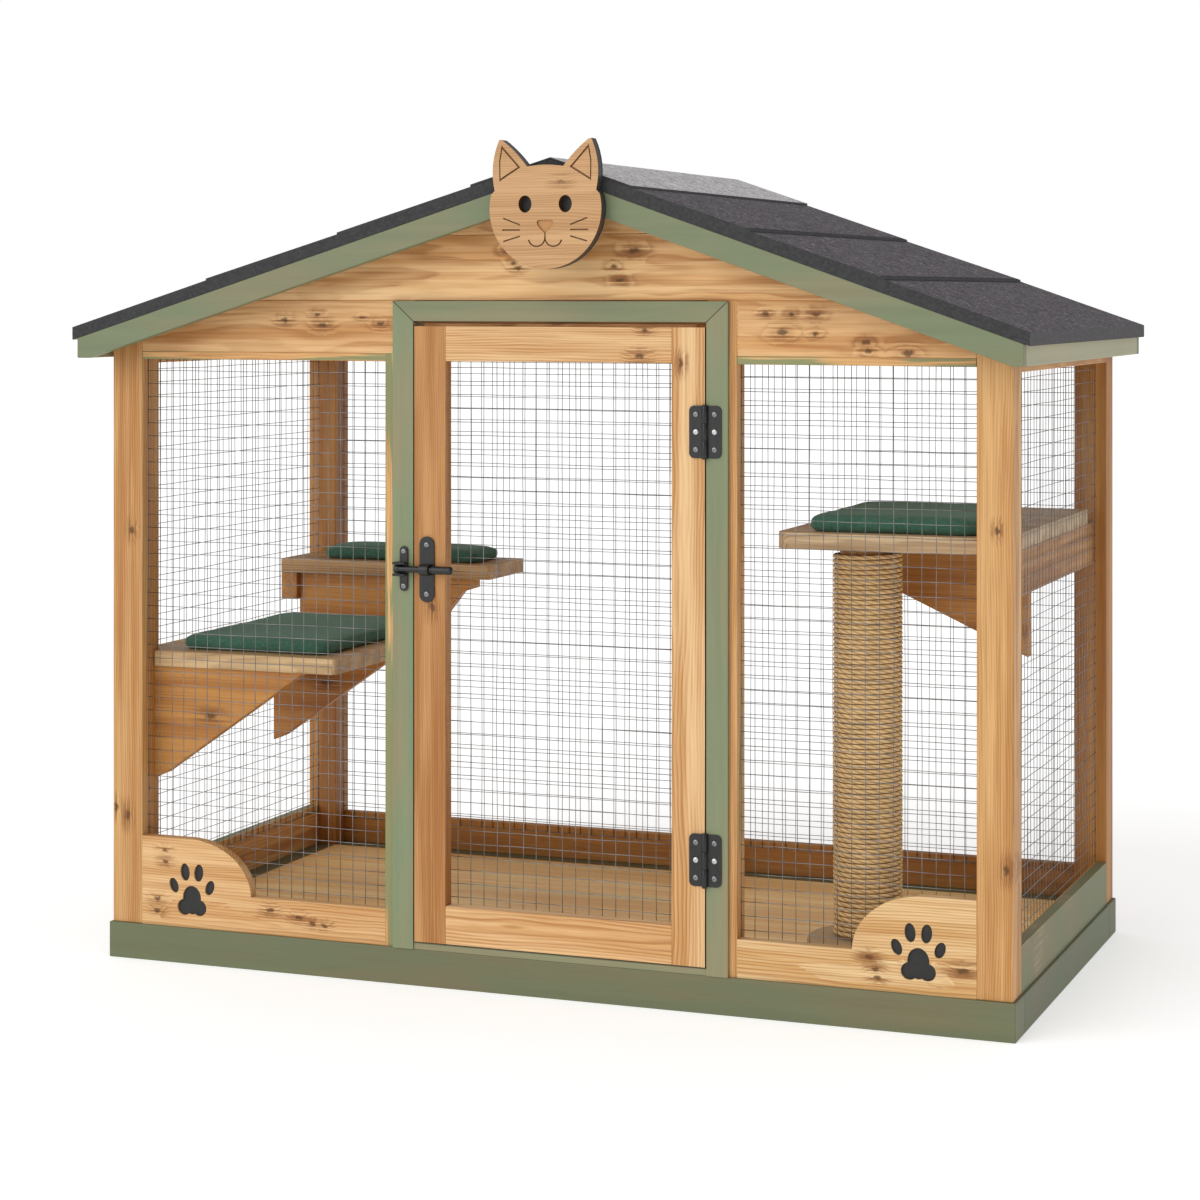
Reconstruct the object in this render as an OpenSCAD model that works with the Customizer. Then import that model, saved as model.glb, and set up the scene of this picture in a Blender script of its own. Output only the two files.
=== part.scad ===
// Outdoor cat enclosure: a timber frame on a painted plinth, with wire mesh, a hinged door,
// a felted gable roof, three padded platforms and a sisal scratching post.
// Lengths are in mm. X runs along the front, Y runs to the back, Z is up.
// The origin lies on the ground, under the middle of the plinth and roof.

/* [Plinth] */
// Width of the plinth
base_w = 1330; // [1300:5:1360]
// Depth of the plinth
base_d = 680; // [660:5:720]
// Height of the plinth
base_h = 51; // [45:1:60]
// Width of the plinth rails
base_rail_w = 52; // [52:1:60]
// Thickness of the floor boards
floor_t = 15; // [12:1:20]
// Number of floor boards
floor_board_count = 6; // [5:1:8]
// Gap between two floor boards
floor_gap = 1; // [0.5:0.1:2]
// Width of a floor bearer
bearer_w = 45; // [35:1:60]
// Number of floor bearers
bearer_count = 5; // [4:1:6]

/* [Frame] */
// Side of the square corner posts
post_w = 48; // [45:1:52]
// Distance from the plinth's edge to the posts
post_inset = 4; // [2:0.5:6]
// Thickness of the boards and low rails
board_t = 16; // [14:1:18]
// Height of the low front rails
front_rail_h = 51; // [40:1:60]
// Height of the low back rail
back_rail_h = 50; // [40:1:60]
// Height of the low side rails
side_rail_h = 63; // [50:1:75]
// Drop of the headers' lower edges below the door's top
header_drop = 38; // [30:1:45]
// Height of the header boards
header_h = 74; // [65:1:80]
// Height of the lower gable board
gable_board_h = 90; // [80:1:100]
// Height of the beads under the header boards
bead_h = 11; // [8:1:14]
// Drop of the side boards' lower edges below the headers'
side_board_drop = 19; // [12:1:25]
// Width of the stud in the middle of the back
back_stud_w = 44; // [35:1:50]
// Middle of the back stud, from the middle of the plinth
back_stud_x = 38; // [30:1:50]

/* [Scooped rails] */
// Height of the scooped end above its rail
hump_h = 76; // [60:1:85]
// Level stretch of the left scooped end
hump_flat_left = 75; // [65:1:85]
// Run of the left scoop
hump_run_left = 101; // [85:1:110]
// Level stretch of the right scooped end
hump_flat_right = 68; // [65:1:80]
// Run of the right scoop
hump_run_right = 98; // [85:1:110]
// Depth of the paw print recess
paw_depth = 5; // [3:0.5:8]
// Thickness of the black inlay in the recess
inlay_t = 2; // [1:0.5:3]
// Corner post to the middle of the left paw print
paw_left_in = 81; // [76:1:86]
// Corner post to the middle of the right paw print
paw_right_in = 77; // [72:1:80]

/* [Door] */
// Width of the door leaf
door_w = 425; // [405:1:435]
// Height of the door leaf
door_h = 852; // [840:1:855]
// Thickness of the door frame
door_t = 20; // [18:1:24]
// Left edge of the door, from the middle of the plinth
door_left = -179; // [-185:1:-170]
// Width of the door stiles
stile_w = 47; // [42:1:52]
// Height of the top door rail
door_top_rail_h = 48; // [40:1:55]
// Height of the bottom door rail
door_bottom_rail_h = 52.5; // [45:0.5:60]
// Gap beside the door
door_gap = 2; // [1.5:0.1:3]
// Gap under the door
sill_gap = 1; // [1:0.1:2]
// Height of the sill
sill_h = 10; // [8:1:12]
// Gap over the door
head_gap = 4; // [3:0.5:6]
// Width of the left jamb stud
stud_left_w = 45; // [42:1:50]
// Width of the right jamb stud
stud_right_w = 41; // [38:1:45]
// Depth of the jamb studs
stud_d = 32; // [28:1:38]
// Width of the left casing board
casing_left_w = 31; // [26:1:36]
// Width of the right casing board
casing_right_w = 30; // [28:1:36]
// Height of the casing board over the door
casing_head_h = 28; // [24:1:29]
// Thickness of the casing
casing_t = 6; // [5:0.5:8]
// Step from the lintel's underside up to the casing
casing_reveal = 3; // [2:0.5:5]

/* [Wire mesh] */
// Wire spacing, fitted evenly to each panel
mesh_pitch = 38; // [36:0.5:44]
// Width of a wire
wire_w = 2; // [1.4:0.1:2.4]
// Thickness of a wire
wire_t = 1.6; // [1.2:0.1:2]
// Lap of the mesh on the boards
mesh_lap = 10; // [6:0.5:12]

/* [Roof] */
// Width over the eaves
roof_w = 1390; // [1380:5:1410]
// Overhang past the plinth at the front
overhang_front = 52; // [48:1:60]
// Overhang past the plinth at the back
overhang_back = 70; // [60:1:80]
// Ridge line, from the middle of the plinth
ridge_x = 44; // [30:1:60]
// Rise of the ridge above the headers' lower edges
ridge_rise = 263; // [250:1:275]
// Rise of the eaves' top above the headers' lower edges
eave_rise = 35; // [30:1:44]
// Thickness of the decks, measured upright
deck_t = 15; // [12:1:18]
// Thickness of the felt
felt_t = 3; // [2:0.5:4]
// Thickness of the felt's turned-down edges
felt_edge_t = 2; // [1.5:0.5:3]
// Step where one course of felt laps the next
felt_lap = 2.5; // [1.5:0.5:4]
// Width of each wing of the ridge cap
cap_wing = 117; // [90:1:140]
// Thickness of the ridge cap
cap_t = 3; // [2:0.5:4]
// Height of the barge boards
barge_h = 34; // [30:1:40]
// Thickness of the barge boards and fascias
barge_t = 16; // [14:1:20]
// Drop of the barge boards' level ends below the headers' lower edges
barge_clip_drop = 9; // [4:1:14]
// Felt edge to the fascia's outer face
fascia_inset = 8; // [5:1:12]
// Width of the ridge beam
beam_w = 34; // [28:1:40]
// Height of the ridge beam
beam_h = 60; // [50:1:70]
// Clearance between sloped faces of the roof that lie on each other
roof_fit = 0.2; // [0.1:0.05:0.3]

/* [Hinges] */
// Height of a hinge
hinge_h = 70; // [64:1:76]
// Width of a leaf's plate
leaf_w = 18; // [17:0.5:19]
// Thickness of a leaf
leaf_t = 2; // [1.6:0.2:2.4]
// Outer radius of the knuckles
knuckle_r = 4; // [3.6:0.1:4.4]
// Radius of the pin
pin_r = 2; // [1.6:0.1:2.4]
// Running clearance between pin and door knuckle
pin_fit = 0.05; // [0.03:0.01:0.09]
// Gap between two knuckles
knuckle_gap = 0.4; // [0.3:0.1:0.6]
// Rise of the lower hinge's middle above the door's foot
hinge_low_rise = 143; // [128:1:168]
// Drop of the upper hinge's middle below the door's top
hinge_high_drop = 139; // [120:1:160]
// Screw spacing on a leaf
hinge_screw_step = 23.5; // [21:0.5:25]

/* [Screws] */
// Radius of a screw head
screw_head_r = 3.9; // [3.4:0.1:4.2]
// Height of a screw head
screw_head_h = 1.8; // [1.4:0.1:2.2]
// Radius of a screw shank
screw_shank_r = 1.8; // [1.5:0.1:2.1]
// Length of a screw shank
screw_len = 15; // [12:1:17]
// Clearance round a screw shank
screw_fit = 0.1; // [0.1:0.05:0.2]

/* [Latch] */
// Drop of the latch's middle below the door's top
latch_drop = 336; // [310:1:360]
// Height of the latch plate
latch_plate_h = 91; // [84:1:96]
// Width of the latch plate
latch_plate_w = 22; // [20:1:24]
// Thickness of the latch plate and keeper plate
latch_plate_t = 3; // [2.5:0.5:4]
// Radius of the bolt
bolt_r = 4.5; // [4:0.1:4.8]
// Running clearance of the bolt in its guide
bolt_fit = 0.08; // [0.04:0.01:0.09]
// Travel of the bolt
bolt_travel = 30; // [26:1:30]
// Radius of the bolt's head and grip
bolt_head_r = 5.6; // [5.4:0.1:6]
// Height of the keeper plate
keeper_h = 62; // [58:1:68]
// Width of the keeper plate
keeper_w = 12; // [10:1:14]

/* [Platforms] */
// Ground to the top of the left platform
left_top_z = 441; // [420:1:460]
// Ground to the top of the rear shelf
rear_top_z = 534; // [515:1:560]
// Ground to the top of the right platform
right_top_z = 641; // [620:1:660]
// Thickness of the platforms
platform_t = 22; // [20:1:25]
// Reach of the left platform from the side rails
left_reach = 321; // [310:1:335]
// Reach of the rear shelf from the side rails
rear_reach = 363; // [350:1:375]
// Reach of the right platform from the side rails
right_reach = 311; // [300:1:315]
// Front edge of the left platform, behind the posts' front
left_front_in = 31; // [25:1:40]
// Front edge of the right platform, behind the posts' front
right_front_in = 36; // [25:1:40]
// Depth of the left platform
left_depth = 400; // [380:1:415]
// Depth of the rear shelf
rear_depth = 138; // [125:1:145]
// Depth of the right platform
right_depth = 550; // [530:1:565]
// Width of the ledgers, from the side rails inward
ledger_w = 28; // [26:1:32]
// Height of the ledgers
ledger_h = 62; // [50:1:70]
// Thickness of the gussets
gusset_t = 18; // [15:1:22]
// Fit of the platforms round the posts and mesh
platform_fit = 2.4; // [2:0.1:4]
// Rounding of the left platform's and rear shelf's free corner
small_corner_r = 7; // [3:1:15]
// Rounding of the right platform's free corner
large_corner_r = 22; // [10:1:30]

/* [Cushions] */
// Height of the left cushion
cushion_left_h = 16; // [12:1:22]
// Height of the rear cushion
cushion_rear_h = 15; // [12:1:20]
// Height of the right cushion
cushion_right_h = 18; // [12:1:24]
// Rounding of the cushions' corners
cushion_r = 26; // [20:1:35]
// How far the cushions' sides draw in between corners
cushion_draw = 4; // [2:0.5:6]

/* [Scratching post] */
// Middle of the post, from the middle of the plinth
scratch_x = 411; // [400:1:425]
// Middle of the post behind the front of the frame
scratch_in = 206; // [195:1:225]
// Radius over the winding
sisal_r = 48; // [44:1:52]
// Thickness of the winding
sisal_t = 9; // [8:0.5:10]
// Number of turns
sisal_turns = 24; // [20:1:24]
// Gap between two turns
sisal_gap = 0.7; // [0.6:0.1:1.2]
// Radius of the base disc
disc_r = 84; // [76:1:90]
// Thickness of the base disc
disc_t = 22; // [18:1:26]
// Radius of the top cap
post_cap_r = 53; // [53:1:58]
// Thickness of the top cap
post_cap_t = 12; // [10:1:15]

/* [Plaque] */
// Radius of the cat's head
head_r = 80.5; // [74:0.5:84]
// Drop of the head's middle below the ridge
head_drop = 66.5; // [60:0.5:74]
// Thickness of the wooden face
face_t = 12; // [10:1:14]
// Thickness of the black backing
backing_t = 6; // [4:1:8]
// Depth of the carved lines
groove_d = 2.5; // [1.5:0.5:4]
// Width of the carved lines
groove_w = 2; // [1.5:0.1:2.6]

/* [Hidden] */

$fn = 64;
// Overrun of a cutting shape past the face that it cuts
over = 1;
// Seam between two boards of one kind that meet
seam = 0.3;
PINE = "#D9A766";
SAGE = "#8E9B75";
FELT = "#4A484C";
BLACK = "#1E1E1E";
STEEL = "#B9BBBD";
GREEN = "#2F5A48";

// Faces of the plinth and posts
base_x = base_w / 2;
base_y = base_d / 2;
floor_x = base_x - base_rail_w;
floor_y = base_y - base_rail_w;
post_out_x = base_x - post_inset;
post_out_y = base_y - post_inset;
post_in_x = post_out_x - post_w;
post_in_y = post_out_y - post_w;
front_y = -post_out_y;
board_back_y = front_y + board_t;
side_in_x = post_out_x - board_t;
side_mesh_x = side_in_x - wire_t;
front_rail_top = base_h + front_rail_h;

// Door opening
door_right = door_left + door_w;
door_z = base_h + sill_h + sill_gap;
door_top = door_z + door_h;
jamb_left_x = door_left - door_gap;
jamb_right_x = door_right + door_gap;
stud_left_x = jamb_left_x - stud_left_w;
stud_right_x = jamb_right_x + stud_right_w;
lintel_z = door_top + head_gap;
header_z = door_top - header_drop;
header_top_z = header_z + header_h;
gable_split_z = header_top_z + gable_board_h;
bead_z = header_z - bead_h;
side_board_z = header_z - side_board_drop;
casing_y = front_y - casing_t;
casing_left_x = jamb_left_x - casing_left_w;
casing_right_x = jamb_right_x + casing_right_w;
casing_head_z = lintel_z + casing_reveal;
casing_top = casing_head_z + casing_head_h;
stud_back_y = front_y + stud_d;

// Roof
roof_x = roof_w / 2;
roof_front_y = -base_y - overhang_front;
roof_back_y = base_y + overhang_back;
roof_t = deck_t + felt_t;
ridge_z = header_z + ridge_rise;
eave_z = header_z + eave_rise;
barge_clip_z = header_z - barge_clip_drop;
head_z = ridge_z - head_drop;
slope_left = (ridge_z - eave_z) / (roof_x + ridge_x);
slope_right = (ridge_z - eave_z) / (roof_x - ridge_x);
function roof_top(x) = ridge_z - (x < ridge_x ? slope_left * (ridge_x - x) : slope_right * (x - ridge_x));
function under_roof(x) = roof_top(x) - roof_t;
// Top of the frame, which stays clear of the decks
function frame_top(x) = under_roof(x) - roof_fit;
fascia_x = roof_x - fascia_inset;

// Hinges: the pin stands in front of the door's edge
hinge_x = door_right + door_gap / 2;
hinge_gap = 0.2;
hinge_y = casing_y - knuckle_r - hinge_gap;
leaf_screw_x = 13;
hinge_zs = [door_z + hinge_low_rise, door_top - hinge_high_drop];
leaf_front_y = casing_y - leaf_t;

// Latch: plate on the latch stile, keeper on the left casing
latch_z = door_top - latch_drop;
latch_x = door_left + 20;
keeper_x = door_left - 15;
latch_front_y = casing_y - latch_plate_t;
bolt_gap = 0.6;
bolt_y = latch_front_y - bolt_head_r - bolt_gap;
guide_w = 14;
guide_wall = 3.2;
latch_screw_step = 34;
keeper_screw_step = 24;
bolt_head_l = 8;
bolt_tip_x = latch_x - guide_w / 2 - bolt_travel - over - bolt_head_l;
bolt_end_x = latch_x + 42;
grip_l = 31;

// Platforms
left_front_y = front_y + left_front_in;
right_front_y = front_y + right_front_in;
platform_out_x = side_mesh_x - platform_fit;
ledger_in_x = platform_out_x - ledger_w;
left_edge_x = -(platform_out_x - left_reach);
rear_edge_x = -(platform_out_x - rear_reach);
right_edge_x = platform_out_x - right_reach;

// A box between two corners
module block(x0, x1, y0, y1, z0, z1) {
    translate([x0, y0, z0]) cube([x1 - x0, y1 - y0, z1 - z0]);
}

// A profile drawn in X and Z, extruded from y0 back to y1
module upright(y0, y1) {
    translate([0, y1, 0]) rotate([90, 0, 0]) linear_extrude(y1 - y0) children();
}

// The space under the roof, as a profile in X and Z
module under_roof_profile() {
    polygon([
        [-roof_x, 0], [roof_x, 0],
        [roof_x, frame_top(roof_x)], [ridge_x, frame_top(ridge_x)], [-roof_x, frame_top(-roof_x)]
    ]);
}

// What is cut off by the underside of the roof
module cut_to_roof() {
    intersection() {
        children();
        upright(roof_front_y - over, roof_back_y + over) under_roof_profile();
    }
}

// Plinth: the front and back rails run full width, the side rails fit between them
module base_front_rail() {
    color(SAGE) block(-base_x, base_x, -base_y, -floor_y, 0, base_h);
}

module base_back_rail() {
    color(SAGE) block(-base_x, base_x, floor_y, base_y, 0, base_h);
}

module base_side_rails() {
    color(SAGE) for (x = [-base_x, floor_x]) block(x, x + base_rail_w, -floor_y, floor_y, 0, base_h);
}

module floor_bearers() {
    step = (2 * floor_x - bearer_w) / (bearer_count - 1);
    color(PINE) for (i = [0:bearer_count - 1]) {
        x = -floor_x + i * step;
        block(x, x + bearer_w, -floor_y, floor_y, 0, base_h - floor_t);
    }
}

module floor_boards() {
    w = (2 * floor_y + floor_gap) / floor_board_count;
    color(PINE) for (i = [0:floor_board_count - 1]) {
        y = -floor_y + i * w;
        block(-floor_x, floor_x, y, y + w - floor_gap, base_h - floor_t, base_h);
    }
}

// Corner posts, cut to the slope of the roof
module post_pair(y) {
    color(PINE) for (x = [-post_out_x, post_in_x]) {
        cut_to_roof() block(x, x + post_w, y, y + post_w, base_h, ridge_z);
    }
}

module front_posts() {
    post_pair(front_y);
}

module back_posts() {
    post_pair(post_in_y);
}

// Jamb studs, notched at the top for the header boards that the casing covers,
// with pilot holes for the hinge and keeper screws
module jamb_studs() {
    color(SAGE) difference() {
        block(stud_left_x, jamb_left_x, front_y, stud_back_y, base_h, header_top_z);
        block(stud_left_x - over, casing_left_x, front_y - over, board_back_y, header_z, header_top_z + over);
        keeper_pilots();
    }
    color(SAGE) difference() {
        block(jamb_right_x, stud_right_x, front_y, stud_back_y, base_h, header_top_z);
        hinge_pilots(hinge_x + leaf_screw_x);
    }
}

module door_lintel() {
    color(PINE) block(jamb_left_x, jamb_right_x, front_y, stud_back_y, lintel_z, header_top_z);
}

// The back stud stands behind the mesh and carries the ridge beam
module back_stud() {
    y1 = post_out_y - board_t - wire_t;
    z1 = under_roof(ridge_x) - beam_h;
    color(PINE) block(back_stud_x - back_stud_w / 2, back_stud_x + back_stud_w / 2, post_in_y, y1, base_h, z1);
}

// Low front rails with a scooped end that rises to the corner post.
// The scoop is a quarter of an ellipse.
scoop_steps = 16;

module scooped_rail(length, flat_w, run) {
    top = front_rail_top;
    polygon(concat(
        [[0, base_h], [length, base_h], [length, top]],
        [for (i = [0:scoop_steps]) let (a = 90 * i / scoop_steps)
            [flat_w + run * cos(a), top + hump_h * sin(a)]],
        [[0, top + hump_h]]
    ));
}

module paw_rail_left() {
    color(PINE) difference() {
        translate([-post_in_x, 0, 0]) upright(front_y, board_back_y)
            scooped_rail(post_in_x + stud_left_x, hump_flat_left, hump_run_left);
        upright(front_y - over, front_y + paw_depth) translate([-post_in_x + paw_left_in, paw_z]) paw(0);
    }
}

module paw_rail_right() {
    color(PINE) difference() {
        translate([post_in_x, 0, 0]) mirror([1, 0, 0]) upright(front_y, board_back_y)
            scooped_rail(post_in_x - stud_right_x, hump_flat_right, hump_run_right);
        upright(front_y - over, front_y + paw_depth) translate([post_in_x - paw_right_in, paw_z]) paw(0);
    }
}

// Paw print: a three-lobed pad and four toes. Every outline is drawn in by gap.
paw_z = front_rail_top - 13;
paw_gap = 0.15;
function ellipse(rx, ry, n = 28) = [for (i = [0:n - 1]) [rx * cos(360 * i / n), ry * sin(360 * i / n)]];

module toe(x, z, rx, rz, tilt, gap) {
    translate([x, z]) rotate(tilt) polygon(ellipse(rx - gap, rz - gap));
}

module paw(gap) {
    union() {
        translate([0, 4]) polygon(ellipse(15 - gap, 18 - gap));
        for (x = [-12, 12]) translate([x, -9]) circle(r = 11.5 - gap);
        translate([0, -9]) circle(r = 10 - gap);
    }
    toe(-29, 21, 7, 11, 22, gap);
    toe(-11, 41, 7.5, 12.5, 6, gap);
    toe(11, 41, 7.5, 12.5, -6, gap);
    toe(29, 21, 7, 11, -22, gap);
}

module paw_inlays() {
    y1 = front_y + paw_depth;
    color(BLACK) for (x = [-post_in_x + paw_left_in, post_in_x - paw_right_in]) {
        upright(y1 - inlay_t, y1) translate([x, paw_z]) paw(paw_gap);
    }
}

// Boards over the openings, at the front and the back
module header_boards() {
    color(PINE) cut_to_roof() {
        block(-post_in_x, casing_left_x, front_y, board_back_y, header_z, header_top_z);
        block(stud_right_x, post_in_x, front_y, board_back_y, header_z, header_top_z);
    }
    color(PINE) cut_to_roof() block(-post_in_x, post_in_x, post_out_y - board_t, post_out_y, header_z, header_top_z);
}

// Two boards fill each gable: a lower one and the peak above it
module gable_boards() {
    color(PINE) for (y = [front_y, post_out_y - board_t], z = [
        [header_top_z, gable_split_z - seam], [gable_split_z, ridge_z]
    ]) {
        cut_to_roof() block(-post_in_x, post_in_x, y, y + board_t, z[0], z[1]);
    }
}

module mesh_beads() {
    color(SAGE) {
        block(-post_in_x, stud_left_x, front_y, board_back_y, bead_z, header_z);
        block(stud_right_x, post_in_x, front_y, board_back_y, bead_z, header_z);
    }
}

// Door casing: thin boards on the studs and lintel, mitred at the top corners
module casing_jamb(x_in, x_out) {
    upright(casing_y, front_y) polygon([
        [x_in, base_h], [x_out, base_h], [x_out, casing_top], [x_in, casing_head_z]
    ]);
}

module casing_jamb_left() {
    color(SAGE) difference() {
        casing_jamb(jamb_left_x, casing_left_x);
        keeper_pilots();
    }
}

module casing_jamb_right() {
    color(SAGE) difference() {
        casing_jamb(jamb_right_x, casing_right_x);
        hinge_pilots(hinge_x + leaf_screw_x);
    }
}

module casing_head() {
    color(SAGE) upright(casing_y, front_y) polygon([
        [jamb_left_x, casing_head_z], [jamb_right_x, casing_head_z],
        [casing_right_x, casing_top], [casing_left_x, casing_top]
    ]);
}

module door_sill() {
    color(SAGE) block(jamb_left_x, jamb_right_x, -base_y, stud_back_y, base_h, base_h + sill_h);
}

// Side and back boards
module side_bottom_rails() {
    color(PINE) for (x = [-post_out_x, side_in_x]) {
        block(x, x + board_t, -post_in_y, post_in_y, base_h, base_h + side_rail_h);
    }
}

module side_top_boards() {
    color(PINE) for (x = [-post_out_x, side_in_x]) {
        cut_to_roof() block(x, x + board_t, -post_in_y, post_in_y, side_board_z, ridge_z);
    }
}

module back_bottom_rail() {
    color(PINE) block(-post_in_x, post_in_x, post_out_y - board_t, post_out_y, base_h, base_h + back_rail_h);
}

// Welded wire mesh: one flat lattice, w wide and h high, from its lower left corner.
// The spacing is the whole number of gaps nearest to mesh_pitch, up to mesh_gaps gaps.
mesh_gaps = 300;

module lattice(w, h) {
    nx = round(w / mesh_pitch);
    nz = min(round(h / mesh_pitch), floor(mesh_gaps / nx));
    step_x = (w - wire_w) / nx;
    step_z = (h - wire_w) / nz;
    difference() {
        square([w, h]);
        for (i = [0:nx - 1], j = [0:nz - 1]) {
            translate([i * step_x + wire_w, j * step_z + wire_w]) square([step_x - wire_w, step_z - wire_w]);
        }
    }
}

module front_mesh(x0, x1) {
    z0 = front_rail_top - mesh_lap;
    color(STEEL) translate([x0, 0, z0]) upright(board_back_y, board_back_y + wire_t)
        lattice(x1 - x0, header_z + mesh_lap - z0);
}

module mesh_front_left() {
    front_mesh(-post_in_x, stud_left_x);
}

module mesh_front_right() {
    front_mesh(stud_right_x, post_in_x);
}

module mesh_sides() {
    z0 = base_h + side_rail_h - mesh_lap;
    h = side_board_z + mesh_lap - z0;
    color(STEEL) for (x = [-side_in_x, side_mesh_x]) {
        translate([x, -post_in_y, z0]) rotate([90, 0, 90]) linear_extrude(wire_t) lattice(2 * post_in_y, h);
    }
}

module mesh_back() {
    z0 = base_h + back_rail_h - mesh_lap;
    h = header_z + mesh_lap - z0;
    y1 = post_out_y - board_t;
    color(STEEL) for (x = [[-post_in_x, back_stud_x], [back_stud_x, post_in_x]]) {
        translate([x[0], 0, z0]) upright(y1 - wire_t, y1) lattice(x[1] - x[0], h);
    }
}

// Door: two stiles run full height, the rails fit between them, the mesh is stapled behind
module door_stile_latch() {
    color(PINE) difference() {
        block(door_left, door_left + stile_w, casing_y, casing_y + door_t, door_z, door_top);
        latch_pilots();
    }
}

module door_stile_hinge() {
    color(PINE) difference() {
        block(door_right - stile_w, door_right, casing_y, casing_y + door_t, door_z, door_top);
        hinge_pilots(hinge_x - leaf_screw_x);
    }
}

module door_rails() {
    x0 = door_left + stile_w;
    x1 = door_right - stile_w;
    color(PINE) {
        block(x0, x1, casing_y, casing_y + door_t, door_z, door_z + door_bottom_rail_h);
        block(x0, x1, casing_y, casing_y + door_t, door_top - door_top_rail_h, door_top);
    }
}

module door_mesh() {
    x0 = door_left + stile_w - mesh_lap;
    x1 = door_right - stile_w + mesh_lap;
    z0 = door_z + door_bottom_rail_h - mesh_lap;
    z1 = door_top - door_top_rail_h + mesh_lap;
    y0 = casing_y + door_t;
    color(STEEL) translate([x0, 0, z0]) upright(y0, y0 + wire_t) lattice(x1 - x0, z1 - z0);
}

// Butt hinges. A leaf is a plate with rounded outer corners and tongues that roll into knuckles.
// The frame leaf has the end knuckles, the door leaf the middle one.
leaf_corner_r = 7;
leaf_start = knuckle_r + 0.6;
knuckle_h = (hinge_h - 2 * knuckle_gap) / 3;
pin_seat = 0.02;

module leaf_plate() {
    translate([leaf_start, -hinge_h / 2]) difference() {
        square([leaf_w, hinge_h]);
        for (z = [0, hinge_h]) translate([leaf_w, z]) leaf_corner(z > 0);
    }
}

module leaf_corner(upper) {
    mirror([0, upper ? 1 : 0]) difference() {
        translate([-leaf_corner_r, -over]) square([leaf_corner_r + over, leaf_corner_r + over]);
        translate([-leaf_corner_r, leaf_corner_r]) circle(r = leaf_corner_r);
    }
}

// One leaf at a hinge's middle height, its plate towards +X; knuckles lists their lower ends
module leaf(knuckles, bore_r) {
    difference() {
        union() {
            upright(leaf_front_y, casing_y) translate([hinge_x, 0]) leaf_plate();
            for (z = knuckles) {
                block(hinge_x + 0.5, hinge_x + leaf_start + over, leaf_front_y, casing_y, z, z + knuckle_h);
                translate([hinge_x, hinge_y, z]) cylinder(r = knuckle_r, h = knuckle_h);
            }
        }
        translate([hinge_x, hinge_y, -hinge_h]) cylinder(r = bore_r, h = 2 * hinge_h);
        for (k = [-1, 0, 1]) screw_hole(hinge_x + leaf_screw_x, leaf_front_y, k * hinge_screw_step);
    }
}

module hinge_frame_leaves() {
    color(BLACK) for (z = hinge_zs) translate([0, 0, z])
        leaf([-hinge_h / 2, hinge_h / 2 - knuckle_h], pin_r + pin_seat);
}

module hinge_door_leaves() {
    color(BLACK) for (z = hinge_zs) translate([2 * hinge_x, 0, z]) mirror([1, 0, 0])
        leaf([-knuckle_h / 2], pin_r + pin_fit);
}

module hinge_pins() {
    head_h = 1.4;
    color(BLACK) for (z = hinge_zs) translate([hinge_x, hinge_y, z]) union() {
        translate([0, 0, -hinge_h / 2]) cylinder(r = pin_r, h = hinge_h);
        for (s = [-1, 1]) translate([0, 0, s * (hinge_h + head_h) / 2])
            cylinder(r = knuckle_r - 0.6, h = head_h, center = true);
    }
}

// Screws: a pan head on the plate and a shank that runs back into the wood
module screw(x, y, z) {
    translate([x, y, z]) rotate([-90, 0, 0]) rotate_extrude() polygon([
        [0, -screw_head_h], [screw_head_r * 0.7, -screw_head_h],
        [screw_head_r, -screw_head_h * 0.4], [screw_head_r, 0],
        [screw_shank_r, 0], [screw_shank_r, screw_len], [0, screw_len]
    ]);
}

module screw_hole(x, y, z) {
    translate([x, y - over, z]) rotate([-90, 0, 0])
        cylinder(r = screw_shank_r + screw_fit, h = over + screw_len + screw_fit);
}

module hinge_pilots(x) {
    for (z = hinge_zs, k = [-1, 0, 1]) screw_hole(x, leaf_front_y, z + k * hinge_screw_step);
}

module keeper_pilots() {
    for (s = [-1, 1]) screw_hole(keeper_x, latch_front_y, latch_z + s * keeper_screw_step);
}

module latch_pilots() {
    for (s = [-1, 1]) screw_hole(latch_x, latch_front_y, latch_z + s * latch_screw_step);
}

module frame_screws() {
    color(STEEL) {
        for (z = hinge_zs, k = [-1, 0, 1]) screw(hinge_x + leaf_screw_x, leaf_front_y, z + k * hinge_screw_step);
        for (s = [-1, 1]) screw(keeper_x, latch_front_y, latch_z + s * keeper_screw_step);
    }
}

module door_screws() {
    color(STEEL) {
        for (z = hinge_zs, k = [-1, 0, 1]) screw(hinge_x - leaf_screw_x, leaf_front_y, z + k * hinge_screw_step);
        for (s = [-1, 1]) screw(latch_x, latch_front_y, latch_z + s * latch_screw_step);
    }
}

// Latch: the bolt slides in a guide on the door and rests in a keeper that is open to the front
module obround(w, h) {
    union() {
        translate([-w / 2, -h / 2 + w / 2]) square([w, h - w]);
        for (s = [-1, 1]) translate([0, s * (h - w) / 2]) circle(d = w);
    }
}

module latch_plate() {
    bore_r = bolt_r + bolt_fit;
    guide_r = bore_r + guide_wall;
    color(BLACK) difference() {
        union() {
            translate([latch_x, 0, latch_z]) upright(latch_front_y, casing_y)
                obround(latch_plate_w, latch_plate_h);
            translate([latch_x - guide_w / 2, bolt_y, latch_z]) rotate([0, 90, 0])
                cylinder(r = guide_r, h = guide_w);
            block(latch_x - guide_w / 2, latch_x + guide_w / 2, bolt_y, latch_front_y,
                latch_z - guide_r, latch_z + guide_r);
        }
        translate([latch_x - guide_w, bolt_y, latch_z]) rotate([0, 90, 0]) cylinder(r = bore_r, h = 2 * guide_w);
        latch_pilots();
    }
}

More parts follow.
